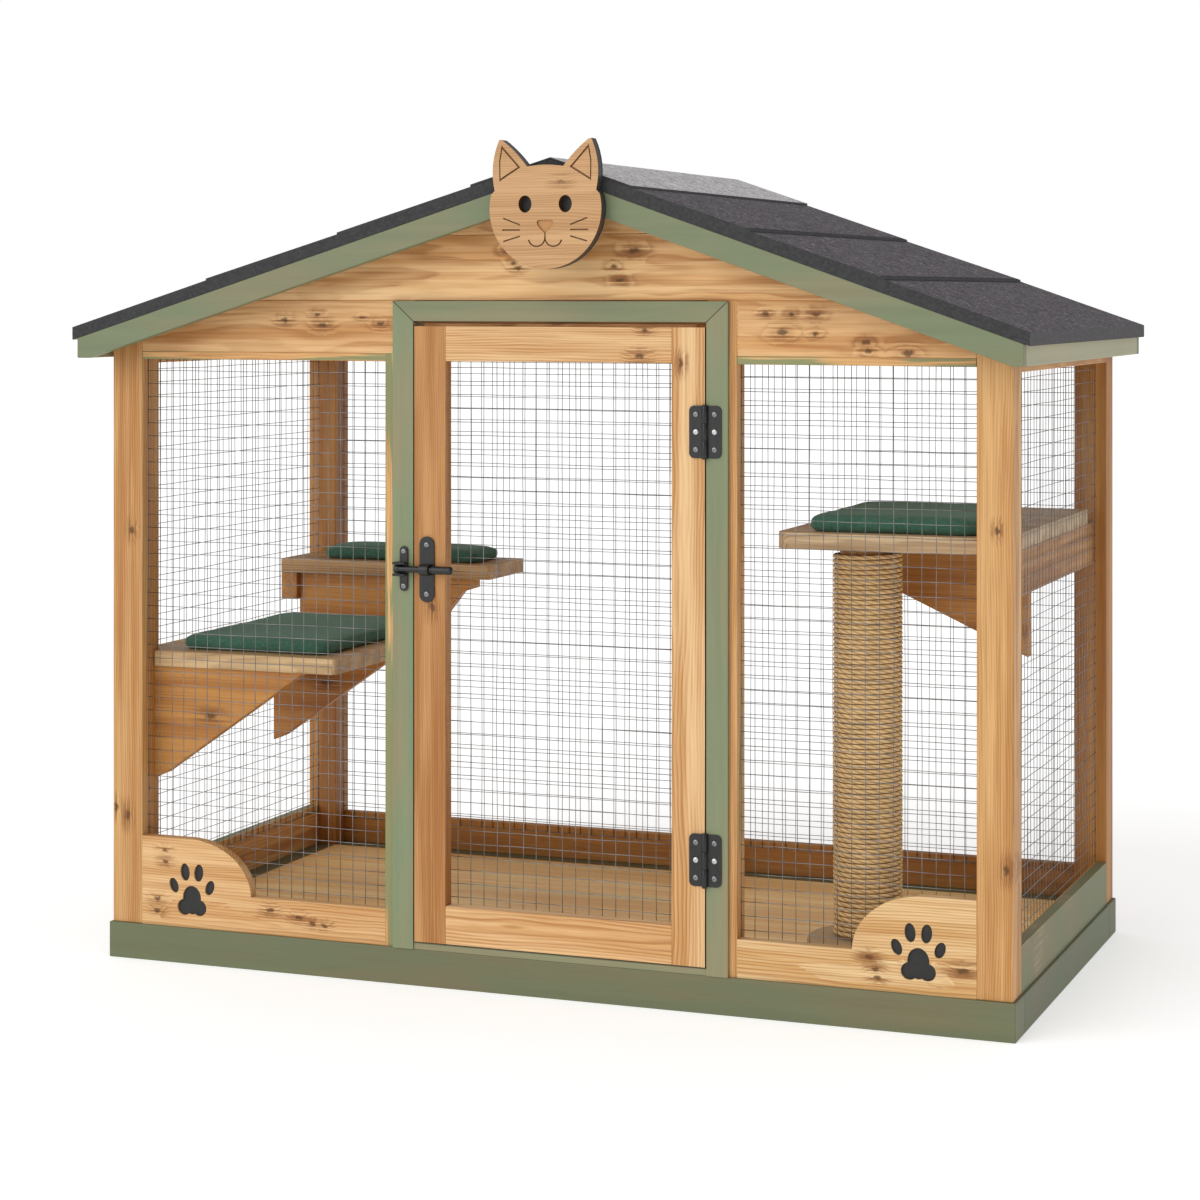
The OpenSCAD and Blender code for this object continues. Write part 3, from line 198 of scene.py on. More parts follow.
def pine_grain(tree, name, grain="X", boards=(1, 1, 1), light="E3B375", deep="C08548", brown="A2642A",
               knots=()):
    """Colour and height of planed pine on a CAD node whose box holds so many boards along each axis."""
    place, luck, along, shifted = board_space(tree, name, grain, boards)

    # Distance to the nearest knot, in knot radii: drawn out along the grain, with a frayed edge
    fray = add(tree, "TexNoise", {"Vector": place, "Scale": frays_per_metre, "Detail": 2.0},
               out="Color")
    fray = add(tree, "VectorMath", [fray, (0.5, 0.5, 0.5)], operation="SUBTRACT")
    if knots:
        frayed = add(tree, "VectorMath", [fray, (fray_reach, 0, fray_reach), place],
                     operation="MULTIPLY_ADD")
        near = 9.0
        for x, z, r in knots:
            stretch = (0.9 / r, 0, 1.7 / r) if grain == "X" else (1.7 / r, 0, 0.9 / r)
            centre = (-x * stretch[0], 0, -z * stretch[2])
            off = add(tree, "VectorMath", [frayed, stretch, centre], operation="MULTIPLY_ADD")
            off = add(tree, "VectorMath", [off], out="Value", operation="LENGTH")
            near = add(tree, "Math", [near, off, 0.5], operation="SMOOTH_MIN")
    else:
        wild = add(tree, "VectorMath", [fray, [fray_reach] * 3, shifted], operation="MULTIPLY_ADD")
        wild = add(tree, "VectorMath", [wild, (0.45, 1, 1)], operation="MULTIPLY")
        cells = add(tree, "TexVoronoi", {"Vector": wild, "Scale": knots_per_metre}).node.outputs
        chance = add(tree, "SeparateColor", [cells["Color"]])
        none = add(tree, "Math", [chance, knot_share], operation="GREATER_THAN")
        near = add(tree, "Math", [cells["Distance"], knot_r], operation="DIVIDE")
        near = add(tree, "Math", [none, 9, near], operation="MULTIPLY_ADD")

    # Growth rings round a pith line that lies off each board by its own amount
    pith = add(tree, "VectorMath", [luck, (0, 0.2, 0.2), (0, -0.1, -0.1)], operation="MULTIPLY_ADD")
    radial = add(tree, "VectorMath", [along, pith], operation="SUBTRACT")
    radial = add(tree, "VectorMath", [radial, (0.012, 1, 1)], operation="MULTIPLY")
    radial = add(tree, "VectorMath", [radial], out="Value", operation="LENGTH")
    radial = add(tree, "Math", [drawn_out(tree, shifted, 1.8, 11), 0.03, radial], operation="MULTIPLY_ADD")
    parted = add(tree, "MapRange", [near, 0.4, 4, 1, 0], **smooth)
    radial = add(tree, "Math", [parted, 0.005, radial], operation="MULTIPLY_ADD")
    ring = add(tree, "Math", [radial, ring_step], operation="DIVIDE")
    ring = add(tree, "Math", [ring], operation="FRACT")
    rise = add(tree, "MapRange", [ring, 0.2, 0.85], **smooth)
    fall = add(tree, "MapRange", [ring, 0.85, 1.0, 1, 0], **smooth)
    late = add(tree, "Math", [rise, fall], operation="MULTIPLY")

    # Broad honey and brown zones, the rings where they come out, and fine brown streaks
    zone = drawn_out(tree, shifted, 1.6, 36)
    streak = drawn_out(tree, shifted, 4.0, 260, 4.0)
    fibre = drawn_out(tree, shifted, 18, 1 / fibre_width, 2.0)
    share = add(tree, "MapRange", [zone, 0.32, 0.7], **smooth)
    colour = add(tree, "Mix", {0: share, 6: light, 7: deep}, **of_colour)
    share = add(tree, "MapRange", [zone, 0.36, 0.6, 0.2, 0.6], **smooth)
    share = add(tree, "Math", [late, share], operation="MULTIPLY")
    colour = add(tree, "Mix", {0: share, 6: colour, 7: brown}, **of_colour)
    share = add(tree, "MapRange", [streak, 0.5, 0.72, 0, 0.42], **smooth)
    colour = add(tree, "Mix", {0: share, 6: colour, 7: brown}, **of_colour)
    share = add(tree, "MapRange", [streak, 0.46, 0.3, 0, 0.5], **smooth)
    colour = add(tree, "Mix", {0: share, 6: colour, 7: light}, **of_colour)
    thread = add(tree, "MapRange", [fibre, 0.3, 0.7, 0.92, 1.05])
    board = add(tree, "MapRange", [luck, 0, 1, 0.92, 1.06])
    thread = add(tree, "Math", [thread, board], operation="MULTIPLY")
    colour = add(tree, "VectorMath", {0: colour, 3: thread}, operation="SCALE")

    # Round a knot the wood is browner, in flames that follow the grain, and the knot itself is dark
    around = add(tree, "MapRange", [near, 0.9, 4.5, 0.85, 0], **smooth)
    flame = add(tree, "MapRange", [streak, 0.42, 0.56], **smooth)
    flame = add(tree, "Math", [around, flame], operation="MULTIPLY")
    colour = add(tree, "Mix", {0: flame, 6: colour, 7: "84501F"}, **of_colour)
    heart = add(tree, "MapRange", [near, 0.45, 1.25, 0.85, 0], **smooth)
    colour = add(tree, "Mix", {0: heart, 6: colour, 7: "5A3714"}, **of_colour)
    height = add(tree, "Math", [late, 0.3, fibre], operation="MULTIPLY_ADD")
    return colour, height, streak


def finish(name, material, width=edge_round):
    """Gives a CAD node its material, and edges rounded by sanding where a width is given."""
    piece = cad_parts[name]
    for place in piece.material_slots:
        place.material = material
    if width:
        weld = piece.modifiers.new("joined", "WELD")
        weld.merge_threshold = weld_gap
        bevel = piece.modifiers.new("sanded_edges", "BEVEL")
        bevel.width = width
        bevel.segments = 2
        bevel.limit_method = "ANGLE"
        bevel.angle_limit = math.radians(sharp_edge)


# Sage paint on pine: satin, drifting from green to tan along the board, with the fibres as fine ridges.
def sage_paint(name, grain="X", boards=(1, 1, 1), green="7F8866", tan="8D8462", joints=()):
    """Thin paint, with a fine dark line at each mitre joint, or a painted shadow line along a gap, each
    given as a point (x, z) on it and its slope.
    """
    material, tree, shader = surface("sage_paint_on_pine", Roughness=0.5)
    place, _, _, shifted = board_space(tree, name, grain, boards)
    fibre = drawn_out(tree, shifted, 18, 1 / fibre_width, 2.0)
    brush = drawn_out(tree, shifted, 2.0, 70)
    drift = drawn_out(tree, shifted, 2.6, 14, 2.0)
    drift = add(tree, "MapRange", [drift, 0.4, 0.62], **smooth)
    paint = add(tree, "Mix", {0: drift, 6: green, 7: tan}, **of_colour)
    tint = add(tree, "MapRange", [brush, 0.3, 0.7, 0.93, 1.06])
    ridge = add(tree, "MapRange", [fibre, 0.3, 0.7, 1.03, 0.96])
    tint = add(tree, "Math", [tint, ridge], operation="MULTIPLY")
    paint = add(tree, "VectorMath", {0: paint, 3: tint}, operation="SCALE")
    for x, z, slope in joints:
        across = add(tree, "VectorMath", [place, (-slope, 0, 1)], out="Value", operation="DOT_PRODUCT")
        across = add(tree, "Math", [across, z - slope * x], operation="SUBTRACT")
        across = add(tree, "Math", [across], operation="ABSOLUTE")
        line = add(tree, "MapRange", [across, 0.0007, 0.0015, 0.85, 0], **smooth)
        paint = add(tree, "Mix", {0: line, 6: paint, 7: "3A3D2B"}, **of_colour)
    bump = add(tree, "Bump", {"Strength": 0.2, "Distance": 0.0004, "Height": fibre})
    feed(tree, shader, Base_Color=paint, Normal=bump)
    return material


finish("base_front_rail", sage_paint("base_front_rail", green="646B4B", tan="6E6849"))


# Floor: six pine boards on five bearers, nailed down inside the plinth. Oiled, not painted,
# and drawn paler than the frame: painted light, against the shade that falls under the roof.
def pine(name, grain="X", boards=(1, 1, 1), sealed=0, **look):
    """Oiled pine: warm straw to honey brown, a silky streak along the board, and a low satin gloss.

    The sides that face +X, or -X if the side given is -1, can be painted dark brown: painted shade, for the
    shadow in the gap beside them."""
    material, tree, shader = surface("oiled_pine", Roughness=0.52)
    shader.inputs["Specular IOR Level"].default_value = 0.35
    colour, height, _ = pine_grain(tree, name, grain, boards, **look)
    if sealed:
        normal = add(tree, "NewGeometry", out="True Normal")
        facing = add(tree, "SeparateXYZ", [normal])
        facing = add(tree, "Math", [facing, sealed], operation="MULTIPLY")
        edge = add(tree, "MapRange", [facing, 0.8, 0.95, 0, 0.85], **smooth)
        colour = add(tree, "Mix", {0: edge, 6: colour, 7: "2E1D0F"}, **of_colour)
    bump = add(tree, "Bump", {"Strength": 0.3, "Distance": 0.0005, "Height": height})
    feed(tree, shader, Base_Color=colour, Normal=bump)
    return material


def planed(name, *layout, width=edge_round, **look):
    """Gives a CAD node pine of its own."""
    finish(name, pine(name, *layout, **look), width)


planed("floor_boards", "X", (1, 6, 1), light="FFE2A4", deep="FAC67E", brown="D29A58", width=fine_edge)
planed("floor_bearers", "Y", (5, 1, 1))


# Posts, studs and lintel: 48 mm square corner posts and lighter studs of pine that stand on
# the plinth. The studs beside the door, and the beads under the headers, have a green stain that
# took in streaks. Each knot is a place x and z and a radius, all in metres.
post_knots = [(-0.656, 0.216, 0.006), (-0.637, 0.206, 0.007), (-0.63, 0.618, 0.006),
              (0.652, 0.22, 0.007), (0.640, 0.655, 0.005)]


def stained(name, grain, boards, cover, bare=0.0):
    """Pine with a thin green stain in streaks between bare yellow wood; bare thins it on the right side."""
    material, tree, shader = surface("green_stained_pine", Roughness=0.55)
    colour, height, streak = pine_grain(tree, name, grain, boards)
    place, _, _, shifted = board_space(tree, name, grain, boards)
    right = add(tree, "SeparateXYZ", [place])
    right = add(tree, "Math", [right, 0.0], operation="GREATER_THAN")
    band = drawn_out(tree, shifted, 3.0, 40)
    band = add(tree, "Math", [right, -bare, band], operation="MULTIPLY_ADD")
    band = add(tree, "Math", [streak, 0.4, band], operation="MULTIPLY_ADD")
    mask = add(tree, "MapRange", [band, 0.9 - 0.4 * cover, 0.98 - 0.4 * cover, 0, 0.9], **smooth)
    colour = add(tree, "Mix", {0: mask, 6: colour, 7: "7D8659"}, **of_colour)
    bump = add(tree, "Bump", {"Strength": 0.3, "Distance": 0.0005, "Height": height})
    feed(tree, shader, Base_Color=colour, Normal=bump)
    return material


planed("front_posts", "Z", (2, 1, 1), light="DDB074", deep="BC8449", knots=post_knots)
# The back posts and stud are drawn in darker pine than the front posts: painted shade inside the enclosure.
planed("back_posts", "Z", (2, 1, 1), light="BC8645", deep="925E2A")
planed("back_stud", "Z", light="BC8645", deep="925E2A")
# The lintel is drawn in dark brown pine: painted shade, since it is seen only through the gap above the
# door.
planed("door_lintel", "X", light="6E4824", deep="4E3116")
finish("jamb_studs", stained("jamb_studs", "Z", (2, 1, 1), cover=0.85, bare=0.24))
finish("mesh_beads", stained("mesh_beads", "X", (2, 1, 1), cover=0.62), fine_edge)


# Front boards: headers over the openings, two gable boards and the low rails, planed pine
# 16 mm thick, screwed to the posts from behind. Their knots are real ones, set in the grain:
# a place x and z in metres, and a radius in millimetres.
front_knots = {
    "gable_boards": [(0.143, 1.017, 8), (0.114, 0.996, 5), (0.123, 0.977, 6), (-0.041, 1.019, 6),
                     (-0.033, 1.001, 5), (-0.027, 0.994, 5)],
    "header_boards": [(0.329, 0.933, 5), (0.364, 0.932, 5), (0.398, 0.932, 6), (0.352, 0.908, 8),
                      (0.397, 0.906, 5), (0.466, 0.896, 6), (0.469, 0.884, 6), (0.522, 0.882, 8),
                      (-0.383, 0.922, 6), (-0.332, 0.930, 5), (-0.324, 0.915, 7), (-0.234, 0.917, 6),
                      (-0.262, 0.925, 4)],
    "paw_rail_left": [(-0.576, 0.159, 5), (-0.575, 0.143, 5), (-0.588, 0.089, 6), (-0.588, 0.072, 5),
                      (-0.406, 0.086, 6), (-0.361, 0.079, 6), (-0.339, 0.072, 5), (-0.321, 0.071, 5)],
    "paw_rail_right": [(0.470, 0.094, 6), (0.478, 0.079, 5), (0.481, 0.068, 5), (0.595, 0.086, 8)],
    "gussets": [(-0.521, 0.350, 9)],
    "door_stile_latch": [(-0.152, 0.526, 7)],
    "door_stile_hinge": [(0.212, 0.866, 6)],
    "door_rails": [(0.153, 0.875, 7), (0.161, 0.910, 5)],
}
mm = 0.001


def knots_of(name):
    """A node's knots, with their radii in metres too."""
    return [(x, z, r * mm) for x, z, r in front_knots[name]]


planed("header_boards", "X", (2, 2, 1), light="E6B982", deep="C88F53", knots=knots_of("header_boards"))
# The gable boards are drawn paler than the headers: painted light, against the shade under the barge
# boards.
# The upper gable board is cut lower than the first, so the box holds 1.9 boards
planed("gable_boards", "X", (1, 2, 1.9), light="EFC68F", deep="D69E5F", knots=knots_of("gable_boards"))
for name, light, deep in (("paw_rail_left", "E7BE88", "CB965A"), ("paw_rail_right", "EACB99", "CEA266")):
    planed(name, "X", light=light, deep=deep, knots=knots_of(name), width=fine_edge)
planed("side_top_boards", "Y", (2, 1, 1))
# The back rail is drawn in darker pine than the front boards: painted shade inside the enclosure.
planed("back_bottom_rail", "X", light="B8803F", deep="8E5F2B")


# Side rails: pine that was painted on its outer face alone, before it was fitted. Rain and
# rubbing have thinned the paint to bare wood in soft patches. The plinth's rails are the same
# at the sides and back, with sound paint.
worn_patch = 0.143


def inward(tree, place):
    """Where the surface faces the middle of the enclosure: 1 inside, 0 outside and on top."""
    flat = add(tree, "VectorMath", [place, (1, 1, 0)], operation="MULTIPLY")
    normal = add(tree, "NewGeometry", out="True Normal")
    facing = add(tree, "VectorMath", [flat, normal], out="Value", operation="DOT_PRODUCT")
    return add(tree, "Math", [facing, -0.01], operation="LESS_THAN")


def painted_outside(name, grain, boards, patchy=0.0, green="626B4D", tan="6C694E"):
    """Bare pine inside and sage paint outside, which is worn through in soft patches."""
    material, tree, shader = surface("pine_painted_outside", Roughness=0.55)
    colour, height, streak = pine_grain(tree, name, grain, boards)
    place = add(tree, "TexCoord", out="Object")
    cloud = add(tree, "TexNoise", {"Vector": place, "Scale": 1 / worn_patch, "Detail": 4.0})
    worn = add(tree, "MapRange", [cloud, 0.54, 0.66, 0, patchy], **smooth)
    torn = add(tree, "MapRange", [streak, 0.4, 0.6], **smooth)
    worn = add(tree, "Math", [worn, torn], operation="MULTIPLY")
    tint = add(tree, "MapRange", [cloud, 0.35, 0.6], **smooth)
    paint = add(tree, "Mix", {0: tint, 6: green, 7: tan}, **of_colour)
    paint = add(tree, "Mix", {0: worn, 6: paint, 7: "A8976F"}, **of_colour)
    colour = add(tree, "Mix", {0: inward(tree, place), 6: paint, 7: colour}, **of_colour)
    bump = add(tree, "Bump", {"Strength": 0.25, "Distance": 0.0004, "Height": height})
    feed(tree, shader, Base_Color=colour, Normal=bump)
    return material


finish("side_bottom_rails", painted_outside("side_bottom_rails", "Y", (2, 1, 1), patchy=1.0, green="727751",
                                            tan="7F7652"))
finish("base_side_rails", painted_outside("base_side_rails", "Y", (2, 1, 1)))
finish("base_back_rail", painted_outside("base_back_rail", "X", (1, 1, 1)))


# Paw inlays: black boards cut to a paw print and glued into pockets in the low rails.
# Painted matt black, with the dust that gathers in a pocket.
dust_cloud = 0.0167
paint_grain = 0.0011


def matt_black(name, colour):
    """Matt black paint: clouded by dust, with a fine grain that breaks what little shine it has."""
    material, tree, shader = surface(name, Roughness=0.62)
    place = add(tree, "TexCoord", out="Object")
    cloud = add(tree, "TexNoise", {"Vector": place, "Scale": 1 / dust_cloud, "Detail": 5.0,
                                   "Roughness": 0.65})
    tint = add(tree, "MapRange", [cloud, 0.3, 0.75, 0.7, 1.7])
    paint = add(tree, "VectorMath", {0: linear(colour)[:3], 3: tint}, operation="SCALE")
    grain = add(tree, "TexNoise", {"Vector": place, "Scale": 1 / paint_grain, "Detail": 2.0})
    bump = add(tree, "Bump", {"Strength": 0.25, "Distance": 0.0002, "Height": grain})
    feed(tree, shader, Base_Color=paint, Normal=bump)
    return material


finish("paw_inlays", matt_black("black_painted_board", "1B1B1B"), 0)


# Door casing and sill: thin painted boards, mitred at the top corners, pinned to the studs. The
# mitres show as fine dark lines, and a dark line along the sill's top edge under the door is painted shadow
# of the gap.
sill_gap_shadow_drop = 0.0006
casing_edge = 0.0007
head_low, head_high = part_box("casing_head")
mitre_and_shadow_lines = {"casing_head": [], "door_sill": [(0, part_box("door_sill")[1][2] - sill_gap_shadow_drop, 0)]}
for name, side in (("casing_jamb_left", 0), ("casing_jamb_right", 1)):
    jamb_low, jamb_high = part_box(name)
    slope = (2 * side - 1) * (head_high[2] - head_low[2]) / (jamb_high[0] - jamb_low[0])
    mitre_and_shadow_lines[name] = [((jamb_low, jamb_high)[side][0], head_high[2], slope)]
    mitre_and_shadow_lines["casing_head"] += mitre_and_shadow_lines[name]
for name, grain, green in (("casing_jamb_left", "Z", "7A8764"), ("casing_jamb_right", "Z", "7D8563"),
                           ("casing_head", "X", "7C815F"), ("door_sill", "X", "7F8866")):
    width = 0 if "jamb" in name else casing_edge
    finish(name, sage_paint(name, grain, green=green, joints=mitre_and_shadow_lines[name]), width)


# Door: two stiles run full height and two rails fit between them, glued and pinned pine.
# The grain turns at each joint, the boards differ a little in tone, and the outer edges are drawn
# dark brown: painted shade, so that the gap round the door reads as a dark line.
planed("door_stile_latch", "Z", light="CC9860", deep="A97139", sealed=-1,
       knots=knots_of("door_stile_latch"))
planed("door_stile_hinge", "Z", light="ECC490", deep="D09B5E", sealed=1, knots=knots_of("door_stile_hinge"))
planed("door_rails", "X", (1, 1, 2), light="ECC591", deep="D3A066", knots=knots_of("door_rails"))


# Hinges and latch: pressed and rolled steel, powder coated black. The coat has a fine
# orange-peel skin, so its highlights are soft and slightly broken.
peel_size = 0.0007
coat_cloud = 0.0111
coat_edge = 0.0003


def powder_coat():
    material, tree, shader = surface("black_powder_coat", Base_Color=linear("181818"))
    place = add(tree, "TexCoord", out="Object")
    peel = add(tree, "TexNoise", {"Vector": place, "Scale": 1 / peel_size, "Detail": 2.0})
    bump = add(tree, "Bump", {"Strength": 0.35, "Distance": 0.0001, "Height": peel})
    cloud = add(tree, "TexNoise", {"Vector": place, "Scale": 1 / coat_cloud, "Detail": 3.0})
    gloss = add(tree, "MapRange", [cloud, 0, 1, 0.22, 0.42])
    feed(tree, shader, Normal=bump, Roughness=gloss)
    return material


coat = powder_coat()
for name in ("hinge_frame_leaves", "hinge_door_leaves", "latch_plate", "latch_keeper"):
    finish(name, coat, coat_edge)
for name in ("hinge_pins", "latch_bolt"):
    finish(name, coat, 0)


# Screws: pan heads with a cross recess. The middle ones of each hinge are bright zinc, as
# replacements are, and all the others are blackened.
head_r = 0.0039
head_h = 0.0018
head_steps = 20
recess_w = 0.0011
recess_l = 0.0043
recess_depth = 0.0011
hinge_row = 0.03
plate_grain = 0.0014


def plated_steel(name, colour):
    """Plated steel with a cloudy shine: zinc is a pale grey metal, and black oxide a dark one."""
    material, tree, shader = surface(name, Metallic=1.0, Base_Color=linear(colour))
    place = add(tree, "TexCoord", out="Object")
    cloud = add(tree, "TexNoise", {"Vector": place, "Scale": 1 / plate_grain, "Detail": 3.0})
    gloss = add(tree, "MapRange", [cloud, 0, 1, 0.22, 0.4])
    feed(tree, shader, Roughness=gloss)
    return material


def solid_boxes(name):
    """The box of each separate solid in a CAD node."""
    bm = bmesh.new()
    bm.from_mesh(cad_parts[name].data)
    bmesh.ops.remove_doubles(bm, verts=bm.verts, dist=weld_gap)
    waiting = set(bm.verts)
    boxes = []
    while waiting:
        group = [waiting.pop()]
        for vert in group:
            for edge in vert.link_edges:
                other = edge.other_vert(vert)
                if other in waiting:
                    waiting.remove(other)
                    group.append(other)
        boxes.append([[pick(v.co[i] for v in group) for i in range(3)] for pick in (min, max)])
    bm.free()
    return sorted(boxes)


def applied(piece):
    """The piece's mesh with its modifiers applied; the piece itself goes."""
    mesh = bpy.data.meshes.new_from_object(piece.evaluated_get(bpy.context.evaluated_depsgraph_get()))
    bpy.data.objects.remove(piece)
    return mesh


def pan_head():
    """One head at the origin that faces -Y."""
    dome = [(0, 1.0), (0.45, 0.97), (0.75, 0.82), (0.93, 0.55), (1, 0.25), (0.96, 0.04), (0, 0)]
    bm = bmesh.new()
    points = [bm.verts.new((r * head_r, -h * head_h, 0)) for r, h in dome]
    edges = [bm.edges.new(pair) for pair in zip(points, points[1:])]
    bmesh.ops.spin(bm, geom=points + edges, cent=(0, 0, 0), axis=(0, 1, 0), angle=math.tau,
                   steps=head_steps, use_merge=True)
    bmesh.ops.remove_doubles(bm, verts=bm.verts, dist=1e-6)
    bmesh.ops.recalc_face_normals(bm, faces=bm.faces)
    head = put("head", bm, None)
    for turn in (0, 90):
        bm = bmesh.new()
        made = bmesh.ops.create_cube(bm, size=1)["verts"]
        bmesh.ops.scale(bm, vec=(recess_l, 2 * recess_depth, recess_w), verts=made)
        inner = [v for v in made if v.co.y > 0]
        bmesh.ops.scale(bm, vec=(0.5, 1, 0.7), verts=inner)
        bmesh.ops.rotate(bm, verts=made, cent=(0, 0, 0), matrix=Matrix.Rotation(math.radians(turn), 3, "Y"))
        bmesh.ops.translate(bm, verts=made, vec=(0, -head_h, 0))
        cut = head.modifiers.new("recess", "BOOLEAN")
        cut.object = put("recess", bm, None)
        cut.solver = "EXACT"
    cutters = [m.object for m in head.modifiers]
    mesh = applied(head)
    for cutter in cutters:
        bpy.data.objects.remove(cutter)
    return mesh


head_mesh = pan_head()
rng = random.Random(7)
bright = plated_steel("zinc_plate", "C9CACB")
blackened = plated_steel("black_oxide_steel", "8A8A8A")
for name, body in (("frame_screws", "enclosure"), ("door_screws", "door")):
    bm = bmesh.new()
    boxes = solid_boxes(name)
    for low, high in boxes:
        before = set(bm.verts), set(bm.faces)
        bm.from_mesh(head_mesh)
        verts = [v for v in bm.verts if v not in before[0]]
        turn = Matrix.Rotation(rng.uniform(0, math.pi / 2), 3, "Y")
        bmesh.ops.rotate(bm, verts=verts, cent=(0, 0, 0), matrix=turn)
        centre = ((low[0] + high[0]) / 2, low[1] + head_h, (low[2] + high[2]) / 2)
        bmesh.ops.translate(bm, verts=verts, vec=centre)
        row = [b for b in boxes if abs(b[0][0] - low[0]) < head_r and abs(b[0][2] - low[2]) < hinge_row]
        # A hinge leaf has three screws in a row, and only its middle one has both others so near
        if len(row) == 3:
            for face in bm.faces:
                if face not in before[1]:
                    face.material_index = 1
    piece = put(name.replace("screws", "screw_heads"), bm, blackened, smooth=False)
    piece.data.materials.append(bright)
    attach(piece, body)
    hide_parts(name)


# Mesh panels: welded wire, 19 mm apart both ways, galvanised. Each wire is drawn straight but
# the panels are cut from a roll, so the wires wave a little. Staples hold them to the boards.
wire_r = 0.00048
wire_step = 0.019
wire_bends = 6
wire_wave = 0.0007
wire_sides = 6
layer_gap = 0.8 * wire_r
bloom_size = 0.0222


def galvanised():
    """Galvanised wire: dull grey metal with a frosty bloom, rougher than polished steel."""
    material, tree, shader = surface("galvanised_wire", Metallic=0.9)
    place = add(tree, "TexCoord", out="Object")
    cloud = add(tree, "TexNoise", {"Vector": place, "Scale": 1 / bloom_size, "Detail": 4.0})
    tint = add(tree, "MapRange", [cloud, 0.3, 0.7, 0.15, 0.32])
    gloss = add(tree, "MapRange", [cloud, 0, 1, 0.35, 0.6])
    feed(tree, shader, Base_Color=add(tree, "CombineColor", [tint, tint, tint]), Roughness=gloss)
    return material


one_wire = bpy.data.meshes.new("one_wire")


def draw_wire(panel, start, run):
    """Adds one wire to a panel, from start along run, with a slight wave."""
    bm = bmesh.new()
    made = bmesh.ops.create_circle(bm, segments=wire_sides, radius=wire_r)["verts"]
    bmesh.ops.rotate(bm, verts=made, cent=(0, 0, 0), matrix=run.to_track_quat("Z", "Y").to_matrix())
    bmesh.ops.translate(bm, verts=made, vec=start)
    edges = list(bm.edges)
    bmesh.ops.contextual_create(bm, geom=edges)
    shift = Vector((0, 0, 0))
    for bend in range(wire_bends):
        grown = bmesh.ops.extrude_edge_only(bm, edges=edges)["geom"]
        made = [v for v in grown if isinstance(v, bmesh.types.BMVert)]
        edges = [e for e in grown if isinstance(e, bmesh.types.BMEdge)]
        wave = Vector([rng.uniform(-wire_wave, wire_wave) for _ in range(3)])
        if bend == wire_bends - 1:
            wave = Vector((0, 0, 0))
        bmesh.ops.translate(bm, verts=made, vec=run / wire_bends + wave - shift)
        shift = wave
    bmesh.ops.contextual_create(bm, geom=edges)
    bm.to_mesh(one_wire)
    bm.free()
    panel.from_mesh(one_wire)


def wire_panel(bm, low, high, across, depth_axis, outward):
    """A panel in the box from low to high; its level wires lie outside the upright ones."""
    low, high = Vector(low), Vector(high)
    middle = (low[depth_axis] + high[depth_axis]) / 2
    for axis, layer in ((across, outward * layer_gap), (2, -outward * layer_gap)):
        other = 2 if axis == across else across
        count = round((high[other] - low[other] - 2 * wire_r) / wire_step)
        step = (high[other] - low[other] - 2 * wire_r) / count
        run = Vector((0, 0, 0))
        run[axis] = high[axis] - low[axis]
        for i in range(count + 1):
            start = low.copy()
            start[other] += wire_r + i * step
            start[depth_axis] = middle + layer
            draw_wire(bm, start, run)


wire = galvanised()
for name, body in (("mesh_front_left", "enclosure"), ("mesh_front_right", "enclosure"),
                   ("mesh_back", "enclosure"), ("door_mesh", "door"), ("mesh_sides", "enclosure")):
    bm = bmesh.new()
    for low, high in ([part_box(name)] if name == "mesh_back" else solid_boxes(name)):
        if name == "mesh_sides":
            wire_panel(bm, low, high, 1, 0, 1 if low[0] > 0 else -1)
        else:
            wire_panel(bm, low, high, 0, 1, 1 if name == "mesh_back" else -1)
    bmesh.ops.recalc_face_normals(bm, faces=bm.faces)
    piece = put(name + "_wires", bm, wire)
    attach(piece, body)
    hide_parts(name)


# Roof: pine decks under mineral felt. The felt lies in three courses on each slope, laps down
# the slope, and is cut in tabs; it turns down 18 mm over the edges, and a cap covers the ridge.
# The grit is really 1 mm across, and is drawn at 3.2 mm so that it shows in the render.
ridge_at = 0.044
grit_size = 0.0032
tab_w = 0.205
tab_shift = 0.083
slot_w = 0.0022
lap_shares = (0.43, 0.707)
ragged_size = 0.0111


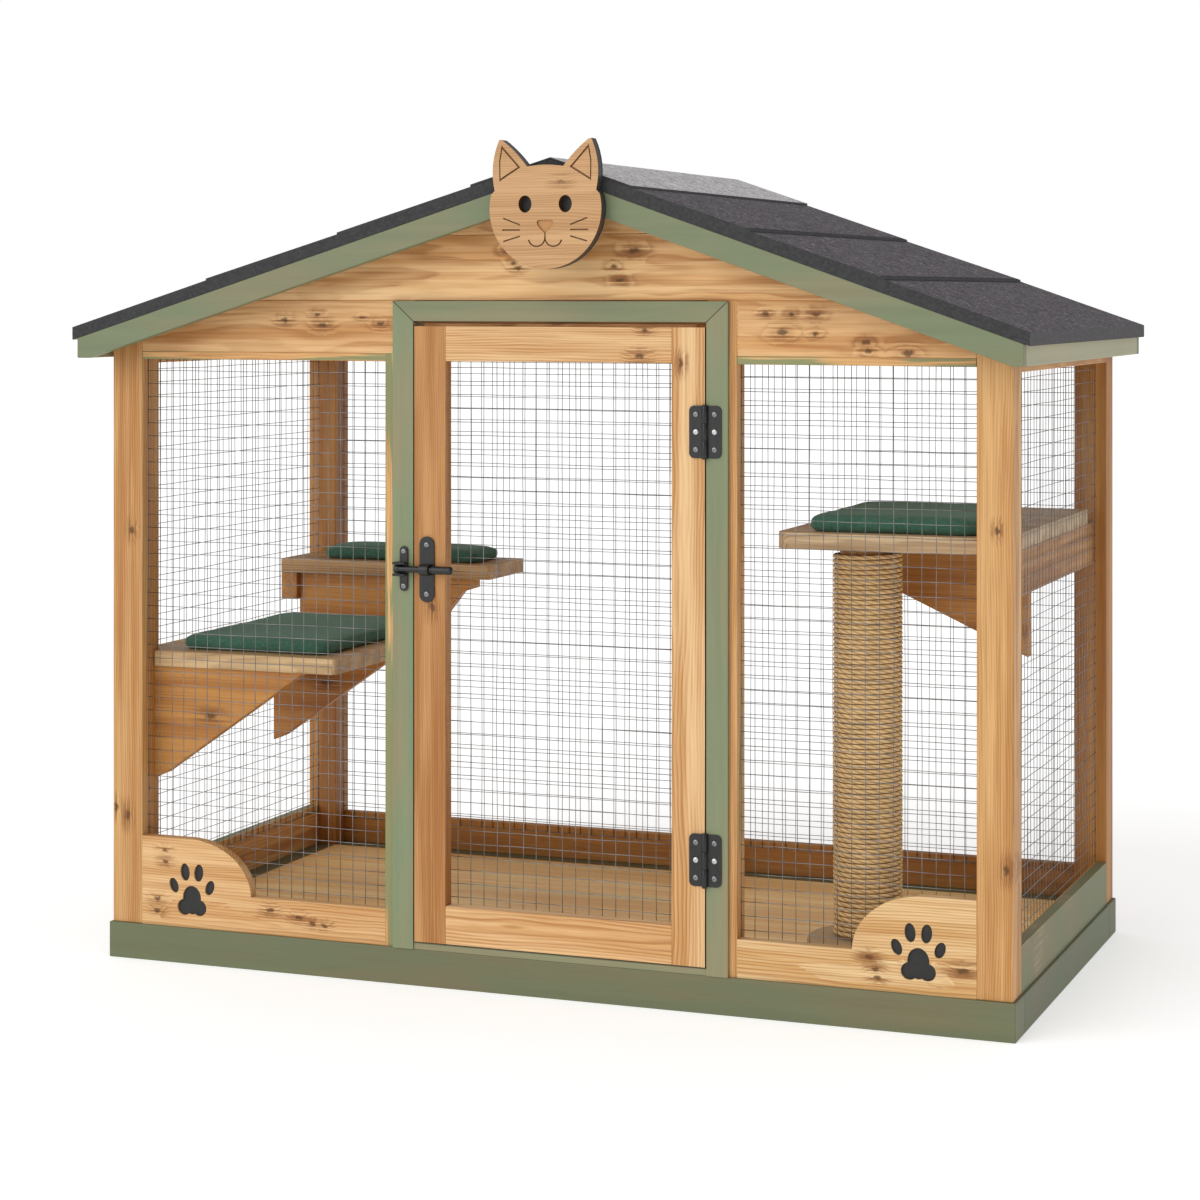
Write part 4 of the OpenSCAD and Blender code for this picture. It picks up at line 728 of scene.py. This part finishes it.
def roof_felt(name, courses, dark="373539", pale="6E6970"):
    """Mineral felt: charcoal with grains of purple, brown and pale slate pressed into bitumen."""
    material, tree, shader = surface("mineral_felt", Roughness=0.9)
    shader.inputs["Specular IOR Level"].default_value = 0.3
    low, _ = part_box(name)
    place = add(tree, "TexCoord", out="Object")
    axes = add(tree, "SeparateXYZ", [place]).node.outputs
    grit = add(tree, "TexVoronoi", {"Vector": place, "Scale": 1 / grit_size}).node.outputs
    pick = add(tree, "SeparateColor", [grit["Color"]]).node.outputs
    colour = add(tree, "Mix", {0: pick[0], 6: dark, 7: pale}, **of_colour)
    for channel, limit, cover, slate in ((pick[1], 0.93, 0.6, "A39C9E"), (pick[2], 0.9, 0.6, "6A545A")):
        grain = add(tree, "Math", [channel, limit], operation="GREATER_THAN")
        grain = add(tree, "Math", [grain, cover], operation="MULTIPLY")
        colour = add(tree, "Mix", {0: grain, 6: colour, 7: slate}, **of_colour)
    rolled = drawn_out(tree, place, 34, 110)
    shade = add(tree, "MapRange", [rolled, 0.3, 0.7, 0.68, 1.32])
    colour = add(tree, "VectorMath", {0: colour, 3: shade}, operation="SCALE")
    seam = 0.0
    ragged = add(tree, "TexNoise", {"Vector": place, "Scale": 1 / ragged_size, "Detail": 3.0})
    for i, (start, end) in enumerate(courses):
        here = add(tree, "MapRange", [axes[0], min(start, end), max(start, end), 0, 1], clamp=False)
        here = add(tree, "Math", [here, 0.5, 0.5], operation="COMPARE")
        tab = add(tree, "Math", [axes[1], tab_shift * i + low[1]], operation="SUBTRACT")
        tab = add(tree, "Math", [tab, tab_w], operation="PINGPONG")
        tab = add(tree, "Math", [ragged, slot_w, tab], operation="MULTIPLY_ADD")
        slot = add(tree, "MapRange", [tab, slot_w * 0.8, slot_w * 1.7, 0.45, 0], **smooth)
        slot = add(tree, "Math", [slot, here], operation="MULTIPLY")
        seam = add(tree, "Math", [seam, slot], operation="MAXIMUM")
        # A ragged dark line is painted along each lap: painted shadow of the lap's edge on the course
        # below; seam holds the slots and this shadow.
        lap_shadow = add(tree, "Math", [axes[0], end], operation="SUBTRACT")
        lap_shadow = add(tree, "Math", [lap_shadow], operation="ABSOLUTE")
        lap_shadow = add(tree, "Math", [ragged, -0.006, lap_shadow], operation="MULTIPLY_ADD")
        lap_shadow = add(tree, "MapRange", [lap_shadow, 0.001, 0.005, 0.9, 0], **smooth)
        seam = add(tree, "Math", [seam, lap_shadow], operation="MAXIMUM")

    # The turned-down edges show the smooth underside of the sheet. Those facing the sides are drawn lighter
    # than those at the front: painted light, by the way each edge faces.
    normal = add(tree, "NewGeometry", out="True Normal")
    facing = add(tree, "SeparateXYZ", [normal]).node.outputs
    upper = add(tree, "MapRange", [facing[2], 0.4, 0.6], **smooth)
    seam = add(tree, "Math", [seam, upper], operation="MULTIPLY")
    colour = add(tree, "Mix", {0: seam, 6: colour, 7: "201F20"}, **of_colour)
    side = add(tree, "Math", [facing[0]], operation="ABSOLUTE")
    plain = add(tree, "Mix", {0: side, 6: "3D3D3E", 7: "565456"}, **of_colour)
    speck = add(tree, "MapRange", [pick[0], 0, 1, 0.8, 1.15])
    plain = add(tree, "VectorMath", {0: plain, 3: speck}, operation="SCALE")
    colour = add(tree, "Mix", {0: upper, 6: plain, 7: colour}, **of_colour)
    rough = add(tree, "Math", [seam, -1.5, grit["Distance"]], operation="MULTIPLY_ADD")
    rough = add(tree, "Math", [rough, upper], operation="MULTIPLY")
    bump = add(tree, "Bump", {"Strength": 0.5, "Distance": 0.0008, "Height": rough})
    feed(tree, shader, Base_Color=colour, Normal=bump)
    return material


for name, side in (("felt_left", 0), ("felt_right", 1)):
    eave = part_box(name)[side][0]
    laps = [ridge_at + (eave - ridge_at) * share for share in lap_shares]
    finish(name, roof_felt(name, [(ridge_at, laps[0]), (laps[0], laps[1]), (laps[1], 2 * eave)]), fine_edge)
# The cap is drawn pale: a painted sheen, for the light its top catches at a low angle.
finish("ridge_cap", roof_felt("ridge_cap", [], dark="ADAAAC", pale="E0DDDE"), fine_edge)
planed("roof_decks", "Y", (2, 1, 1), light="C2935E", deep="9C6B3B", width=0)
planed("ridge_beam", "Y", light="C99A63", deep="A2713F")
finish("barge_boards", sage_paint("barge_boards", "X", (1, 2, 1), green="727C5B", tan="807D5D"))
finish("fascias", sage_paint("fascias", "Y", (2, 1, 1), green="A3A17F", tan="AEA381"))


# Cat's head plaque: a routed pine face glued to a darker backing board. The router's lines and
# the walls of the nose's pocket are scorched brown, and the outer edge is stained dark.
skin = 0.0016
back_edge = 0.0006
head_centre_z = 1.0725
nose_drop = 0.022
nose_reach = 0.0145
eye_zone = 0.055


def plaque_face(name):
    """Clear planed pine, calm in colour; cuts are scorched and the eyes' walls are brown to their backs."""
    material, tree, shader = surface("routed_pine", Roughness=0.5)
    colour, height, _ = pine_grain(tree, name, "X", light="CFA372", deep="BA8A56", brown="8C5A28",
                                   knots=[(0.067, 1.108, 0.006)])
    colour = add(tree, "Mix", {0: 0.25, 6: colour, 7: "CBA070"}, **of_colour)
    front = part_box(name)[0][1]
    place = add(tree, "TexCoord", out="Object")
    y = add(tree, "SeparateXYZ", [place], out=1)
    normal = add(tree, "NewGeometry", out="True Normal")
    facing = add(tree, "SeparateXYZ", [normal], out=1)
    floor = add(tree, "MapRange", [facing, -0.7, -0.9], **smooth)
    cut = add(tree, "MapRange", [y, front + 0.0003, front + 0.0009])
    scorch = add(tree, "Mix", {0: floor, 6: "5F3818", 7: "8A5A2E"}, **of_colour)
    colour = add(tree, "Mix", {0: cut, 6: colour, 7: scorch}, **of_colour)

    # The nose is a wide shallow pocket, so its floor keeps the wood's colour
    nose = add(tree, "VectorMath", [place, (ridge_at, front, head_centre_z - nose_drop)],
               operation="DISTANCE", out="Value")
    nose = add(tree, "Math", [nose, nose_reach], operation="LESS_THAN")
    nose = add(tree, "Math", [nose, floor], operation="MULTIPLY")
    nose = add(tree, "Math", [nose, cut], operation="MULTIPLY")
    colour = add(tree, "Mix", {0: nose, 6: colour, 7: "B9834B"}, **of_colour)
    rim = add(tree, "VectorMath", [place, (ridge_at, front, head_centre_z)], operation="DISTANCE",
              out="Value")
    deeper = add(tree, "MapRange", [y, front + skin, front + skin + 0.0006])
    wall = add(tree, "MapRange", [facing, -0.9, -0.7], **smooth)
    outer = add(tree, "Math", [rim, eye_zone], operation="GREATER_THAN")
    outer = add(tree, "Math", [outer, wall], operation="MULTIPLY")
    deeper = add(tree, "Math", [deeper, outer], operation="MULTIPLY")
    colour = add(tree, "Mix", {0: deeper, 6: colour, 7: "3D3936"}, **of_colour)
    bump = add(tree, "Bump", {"Strength": 0.2, "Distance": 0.0004, "Height": height})
    feed(tree, shader, Base_Color=colour, Normal=bump)
    return material


finish("cat_plaque", plaque_face("cat_plaque"), 0)
finish("cat_plaque_back", matt_black("stained_backing_board", "2B2A29"), back_edge)


# Platforms: pine boards on ledgers and triangular gussets, screwed from below, with the free
# corner sawn round. Their pine has had less oil, and is greyer than the frame's.
shelf_round = 0.003
for name, light, deep, brown in (("platform_left", "DAB888", "BD986A", "8C6A44"),
                                 ("platform_right", "DCC09A", "BFA078", "8C6A44"),
                                 ("rear_shelf", "C9A272", "A67E50", "7E5C38")):
    planed(name, "X", light=light, deep=deep, brown=brown, width=shelf_round)
planed("gussets", "X", (2, 1, 1), light="C28A47", deep="A0672E", knots=knots_of("gussets"))
planed("ledgers", "Y", (2, 1, 1), light="C48F52", deep="9A6736")


# Cushions: flat pads of dense foam in a sewn cover of dark green felted cloth. The cover is
# stuffed tight, so the pad crowns, its edges are round, and a seam runs along its sides.
felt_green = "395E4D"
pad_voxel = 0.005
pad_frames = 20
pad_cap = 0.004
pad_rise = 0.004
pad_inset = 0.0035
pad_corner = 0.024
rim_share = 0.34
pad_crown = 0.0016
seam_depth = 0.0012
seam_reach = 0.0022
waist_depth = 0.0025
pad_pressure = 4
pad_seat = 0.0002
tuft_size = 0.00385
cloth_cloud = 0.0625


def felted_cloth():
    """Felted cloth: deep green, matt, with a short pale nap that clouds its colour.

    Its tufts, really 1 mm wide, are drawn at 4 mm so that they show."""
    material, tree, shader = surface("green_felted_cloth", Roughness=0.95)
    shader.inputs["Sheen Weight"].default_value = 0.3
    shader.inputs["Sheen Tint"].default_value = linear("BFD8C6")
    shader.inputs["Sheen Roughness"].default_value = 0.6
    shader.inputs["Specular IOR Level"].default_value = 0.15
    place = add(tree, "TexCoord", out="Object")
    nap = add(tree, "TexNoise", {"Vector": place, "Scale": 1 / tuft_size, "Detail": 4.0,
                                 "Roughness": 0.75, "Distortion": 1.5})
    cloud = add(tree, "TexNoise", {"Vector": place, "Scale": 1 / cloth_cloud, "Detail": 4.0})
    tint = add(tree, "MapRange", [nap, 0.3, 0.7, 0.6, 1.5])
    soft = add(tree, "MapRange", [cloud, 0.3, 0.7, 0.88, 1.14])
    tint = add(tree, "Math", [tint, soft], operation="MULTIPLY")
    cloth = add(tree, "VectorMath", {0: linear(felt_green)[:3], 3: tint}, operation="SCALE")
    bump = add(tree, "Bump", {"Strength": 0.5, "Distance": 0.0008, "Height": nap})
    feed(tree, shader, Base_Color=cloth, Normal=bump)
    return material


def cushion(name, node, cloth):
    """A stuffed pad in the space of a CAD cushion: blown up as cloth, then flat below, with its seam."""
    low, high = [Vector(corner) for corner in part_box(node)]
    high.z += pad_rise
    size = high - low
    bm = bmesh.new()
    made = bmesh.ops.create_cube(bm, size=1)["verts"]
    bmesh.ops.scale(bm, vec=size - Vector((2 * pad_inset, 2 * pad_inset, pad_rise)), verts=made)
    upright = [e for e in bm.edges if abs(e.verts[0].co.z - e.verts[1].co.z) > size.z / 2]
    bmesh.ops.bevel(bm, geom=upright, offset=pad_corner, offset_type="OFFSET", segments=6,
                    profile=0.5, affect="EDGES", material=-1)
    rims = [e for e in bm.edges if len({f.normal.z > 0.9 or f.normal.z < -0.9 for f in e.link_faces}) == 2]
    bmesh.ops.bevel(bm, geom=rims, offset=size.z * rim_share, offset_type="OFFSET", segments=3,
                    profile=0.5, affect="EDGES", material=-1)
    bmesh.ops.translate(bm, verts=bm.verts, vec=(low + high) / 2)
    pad = put("pad", bm, cloth)
    remesh = pad.modifiers.new("voxels", "REMESH")
    remesh.mode = "VOXEL"
    remesh.voxel_size = pad_voxel
    pad = bpy.data.objects.new(name, applied(pad))
    scene.collection.objects.link(pad)
    rest = [v.co.copy() for v in pad.data.vertices]
    blown = pad.modifiers.new("stuffed", "CLOTH")
    blown.settings.use_pressure = True
    blown.settings.uniform_pressure_force = pad_pressure
    blown.settings.effector_weights.gravity = 0
    blown.settings.quality = 5
    blown.point_cache.frame_start = 1
    blown.point_cache.frame_end = pad_frames
    for step in range(1, pad_frames + 1):
        scene.frame_set(step)
    pad = bpy.data.objects.new(name, applied(pad))
    scene.collection.objects.link(pad)
    scene.frame_set(1)
    middle_z = (low.z + high.z) / 2
    centre = (low + high) / 2
    for vert, start in zip(pad.data.vertices, rest):
        moved = vert.co - start
        if moved.length > pad_cap:
            moved = moved.normalized() * pad_cap
        spot = start + moved
        # The side is drawn in at its seam, and a little more half-way between the corners
        reach = Vector(((spot.x - centre.x) / (size.x / 2), (spot.y - centre.y) / (size.y / 2)))
        side = max(abs(reach.x), abs(reach.y))
        if side > 0.9:
            depth = seam_depth * math.exp(-((spot.z - middle_z) / seam_reach) ** 2)
            along = min(abs(reach.x), abs(reach.y))
            depth += waist_depth * (1 - along * along)
            spot.x -= depth * reach.x / side
            spot.y -= depth * reach.y / side
        spot.z += pad_crown * (1 - min(1, reach.length) ** 2) * (spot.z > middle_z)
        spot.z = max(spot.z, low.z + pad_seat)
        vert.co = spot
    rounded = pad.modifiers.new("rounded", "SUBSURF")
    rounded.levels = 1
    rounded.render_levels = 1
    pad.data.materials.clear()
    pad.data.materials.append(cloth)
    for face in pad.data.polygons:
        face.use_smooth = True
    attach(pad, "enclosure")
    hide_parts(node)


cloth = felted_cloth()
for side in ("left", "right", "rear"):
    cushion("pad_" + side, "cushion_" + side, cloth)


# Scratching post: a pine core wound edge to edge with three-strand sisal rope, glued and
# stapled at its ends, between a padded base disc and a wooden cap.
rope_r = 0.0034
rope_step = 0.0068
rope_sides = 10
rope_rings = 44
lay_length = 0.015
strand_swell = 0.05
uneven_swell = 0.06
post_x = 0.411
post_y = -0.130
post_middle = 0.3
tone_cloud = 0.0286
needle_size = 0.00263


def sisal():
    """Sisal rope: straw fibres in three twisted strands, matt, with painted shade in the lines between the
    strands and where the turns meet.
    """
    material, tree, shader = surface("sisal_rope", Roughness=0.85)
    shader.inputs["Specular IOR Level"].default_value = 0.25
    lay = add(tree, "Attribute", out="Vector", attribute_name="lay")
    axes = add(tree, "SeparateXYZ", [lay]).node.outputs
    twist = add(tree, "Math", [axes[0], math.tau / lay_length], operation="MULTIPLY")
    strand = add(tree, "Math", [axes[1], 3.0, twist], operation="MULTIPLY_ADD")
    strand = add(tree, "Math", [strand], operation="COSINE")
    place = add(tree, "TexCoord", out="Object")
    drawn = add(tree, "Math", [axes[0], 160.0], operation="MULTIPLY")
    slanted = add(tree, "CombineXYZ", [strand, drawn, axes[1]])
    fibre = add(tree, "TexNoise", {"Vector": slanted, "Scale": 3.0, "Detail": 4.0, "Roughness": 0.7})
    cloud = add(tree, "TexNoise", {"Vector": place, "Scale": 1 / tone_cloud, "Detail": 3.0})
    light = add(tree, "MapRange", [strand, -1, 0.1, 0.62, 1.0], **smooth)
    grain = add(tree, "MapRange", [fibre, 0.3, 0.7, 0.82, 1.14])
    tone = add(tree, "MapRange", [cloud, 0.3, 0.7, 0.88, 1.1])
    light = add(tree, "Math", [light, grain], operation="MULTIPLY")
    light = add(tree, "Math", [light, tone], operation="MULTIPLY")
    # Where one turn of rope meets the next, the straw is mixed to brown: painted shade in the groove
    # between the turns.
    outward = add(tree, "Math", [axes[1]], operation="COSINE")
    unshaded_crest = add(tree, "MapRange", [outward, 0.15, 0.75], **smooth)
    straw = add(tree, "Mix", {0: unshaded_crest, 6: "7E4E1F", 7: "F8D39A"}, **of_colour)
    colour = add(tree, "VectorMath", {0: straw, 3: light}, operation="SCALE")
    height = add(tree, "Math", [strand, 0.7, fibre], operation="MULTIPLY_ADD")
    bump = add(tree, "Bump", {"Strength": 0.8, "Distance": 0.0009, "Height": height})
    feed(tree, shader, Base_Color=colour, Normal=bump)
    return material


def sisal_rope():
    """The winding: a ring swept round the post and down its length, with the lay as an attribute."""
    low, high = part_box("sisal_winding")
    radius = (high[0] - low[0]) / 2 - rope_r
    first = low[2] + rope_r
    turns = (high[2] - low[2] - 2 * rope_r) / rope_step
    steps = round(turns * rope_rings)
    bm = bmesh.new()
    ring = bmesh.ops.create_circle(bm, segments=rope_sides, radius=rope_r)["verts"]
    bmesh.ops.rotate(bm, verts=ring, cent=(0, 0, 0), matrix=Matrix.Rotation(math.pi / 2, 3, "X"))
    bmesh.ops.rotate(bm, verts=ring, cent=(0, 0, 0), matrix=Matrix.Rotation(math.pi / rope_sides, 3, "Y"))
    bmesh.ops.translate(bm, verts=ring, vec=(post_x + radius, post_y, first))
    edges = list(bm.edges)
    bmesh.ops.contextual_create(bm, geom=edges)
    bmesh.ops.spin(bm, geom=ring + edges, cent=(post_x, post_y, 0), axis=(0, 0, 1),
                   angle=math.tau * turns, steps=steps, dvec=(0, 0, turns * rope_step / steps))
    bmesh.ops.holes_fill(bm, edges=[e for e in bm.edges if e.is_boundary], sides=rope_sides)
    bmesh.ops.recalc_face_normals(bm, faces=bm.faces)
    piece = put("sisal_rope", bm, sisal())
    lay = piece.data.attributes.new("lay", "FLOAT_VECTOR", "POINT")
    for vert in piece.data.vertices:
        x, y = vert.co.x - post_x, vert.co.y - post_y
        angle = math.atan2(y, x) / math.tau
        turn = round((vert.co.z - first) / rope_step - angle) + angle
        outward = math.hypot(x, y) - radius
        upward = vert.co.z - first - turn * rope_step
        round_rope = math.atan2(upward, outward)
        length = turn * math.tau * radius
        lay.data[vert.index].vector = (length, round_rope, 0)
        swell = 1 + strand_swell * math.cos(3 * round_rope + math.tau * length / lay_length)
        swell += uneven_swell * noise.noise(vert.co * 60)
        pull = Vector((x, y, 0)).normalized() * outward * (swell - 1)
        vert.co += pull + Vector((0, 0, upward * (swell - 1)))
    return piece


rope = sisal_rope()
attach(rope, "enclosure")
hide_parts("sisal_winding")


def post_ends():
    """Below, beige needle felt on the base disc; above, a brown wooden cap."""
    material, tree, shader = surface("felt_and_wood", Roughness=0.85)
    colour, height, _ = pine_grain(tree, "scratch_post_ends", "X", light="A87848", deep="85582F")
    place = add(tree, "TexCoord", out="Object")
    upper = add(tree, "SeparateXYZ", [place], out=2)
    upper = add(tree, "Math", [upper, post_middle], operation="GREATER_THAN")
    nap = add(tree, "TexNoise", {"Vector": place, "Scale": 1 / needle_size, "Detail": 4.0,
                                 "Roughness": 0.7})
    beige = add(tree, "Mix", {0: nap, 6: "A68A62", 7: "D8C09A"}, **of_colour)
    colour = add(tree, "Mix", {0: upper, 6: beige, 7: colour}, **of_colour)
    height = add(tree, "Mix", {0: upper, 2: nap, 3: height})
    bump = add(tree, "Bump", {"Strength": 0.4, "Distance": 0.0006, "Height": height})
    feed(tree, shader, Base_Color=colour, Normal=bump)
    return material


finish("scratch_post_ends", post_ends(), 0)
planed("scratch_post_core", "Z", width=0)
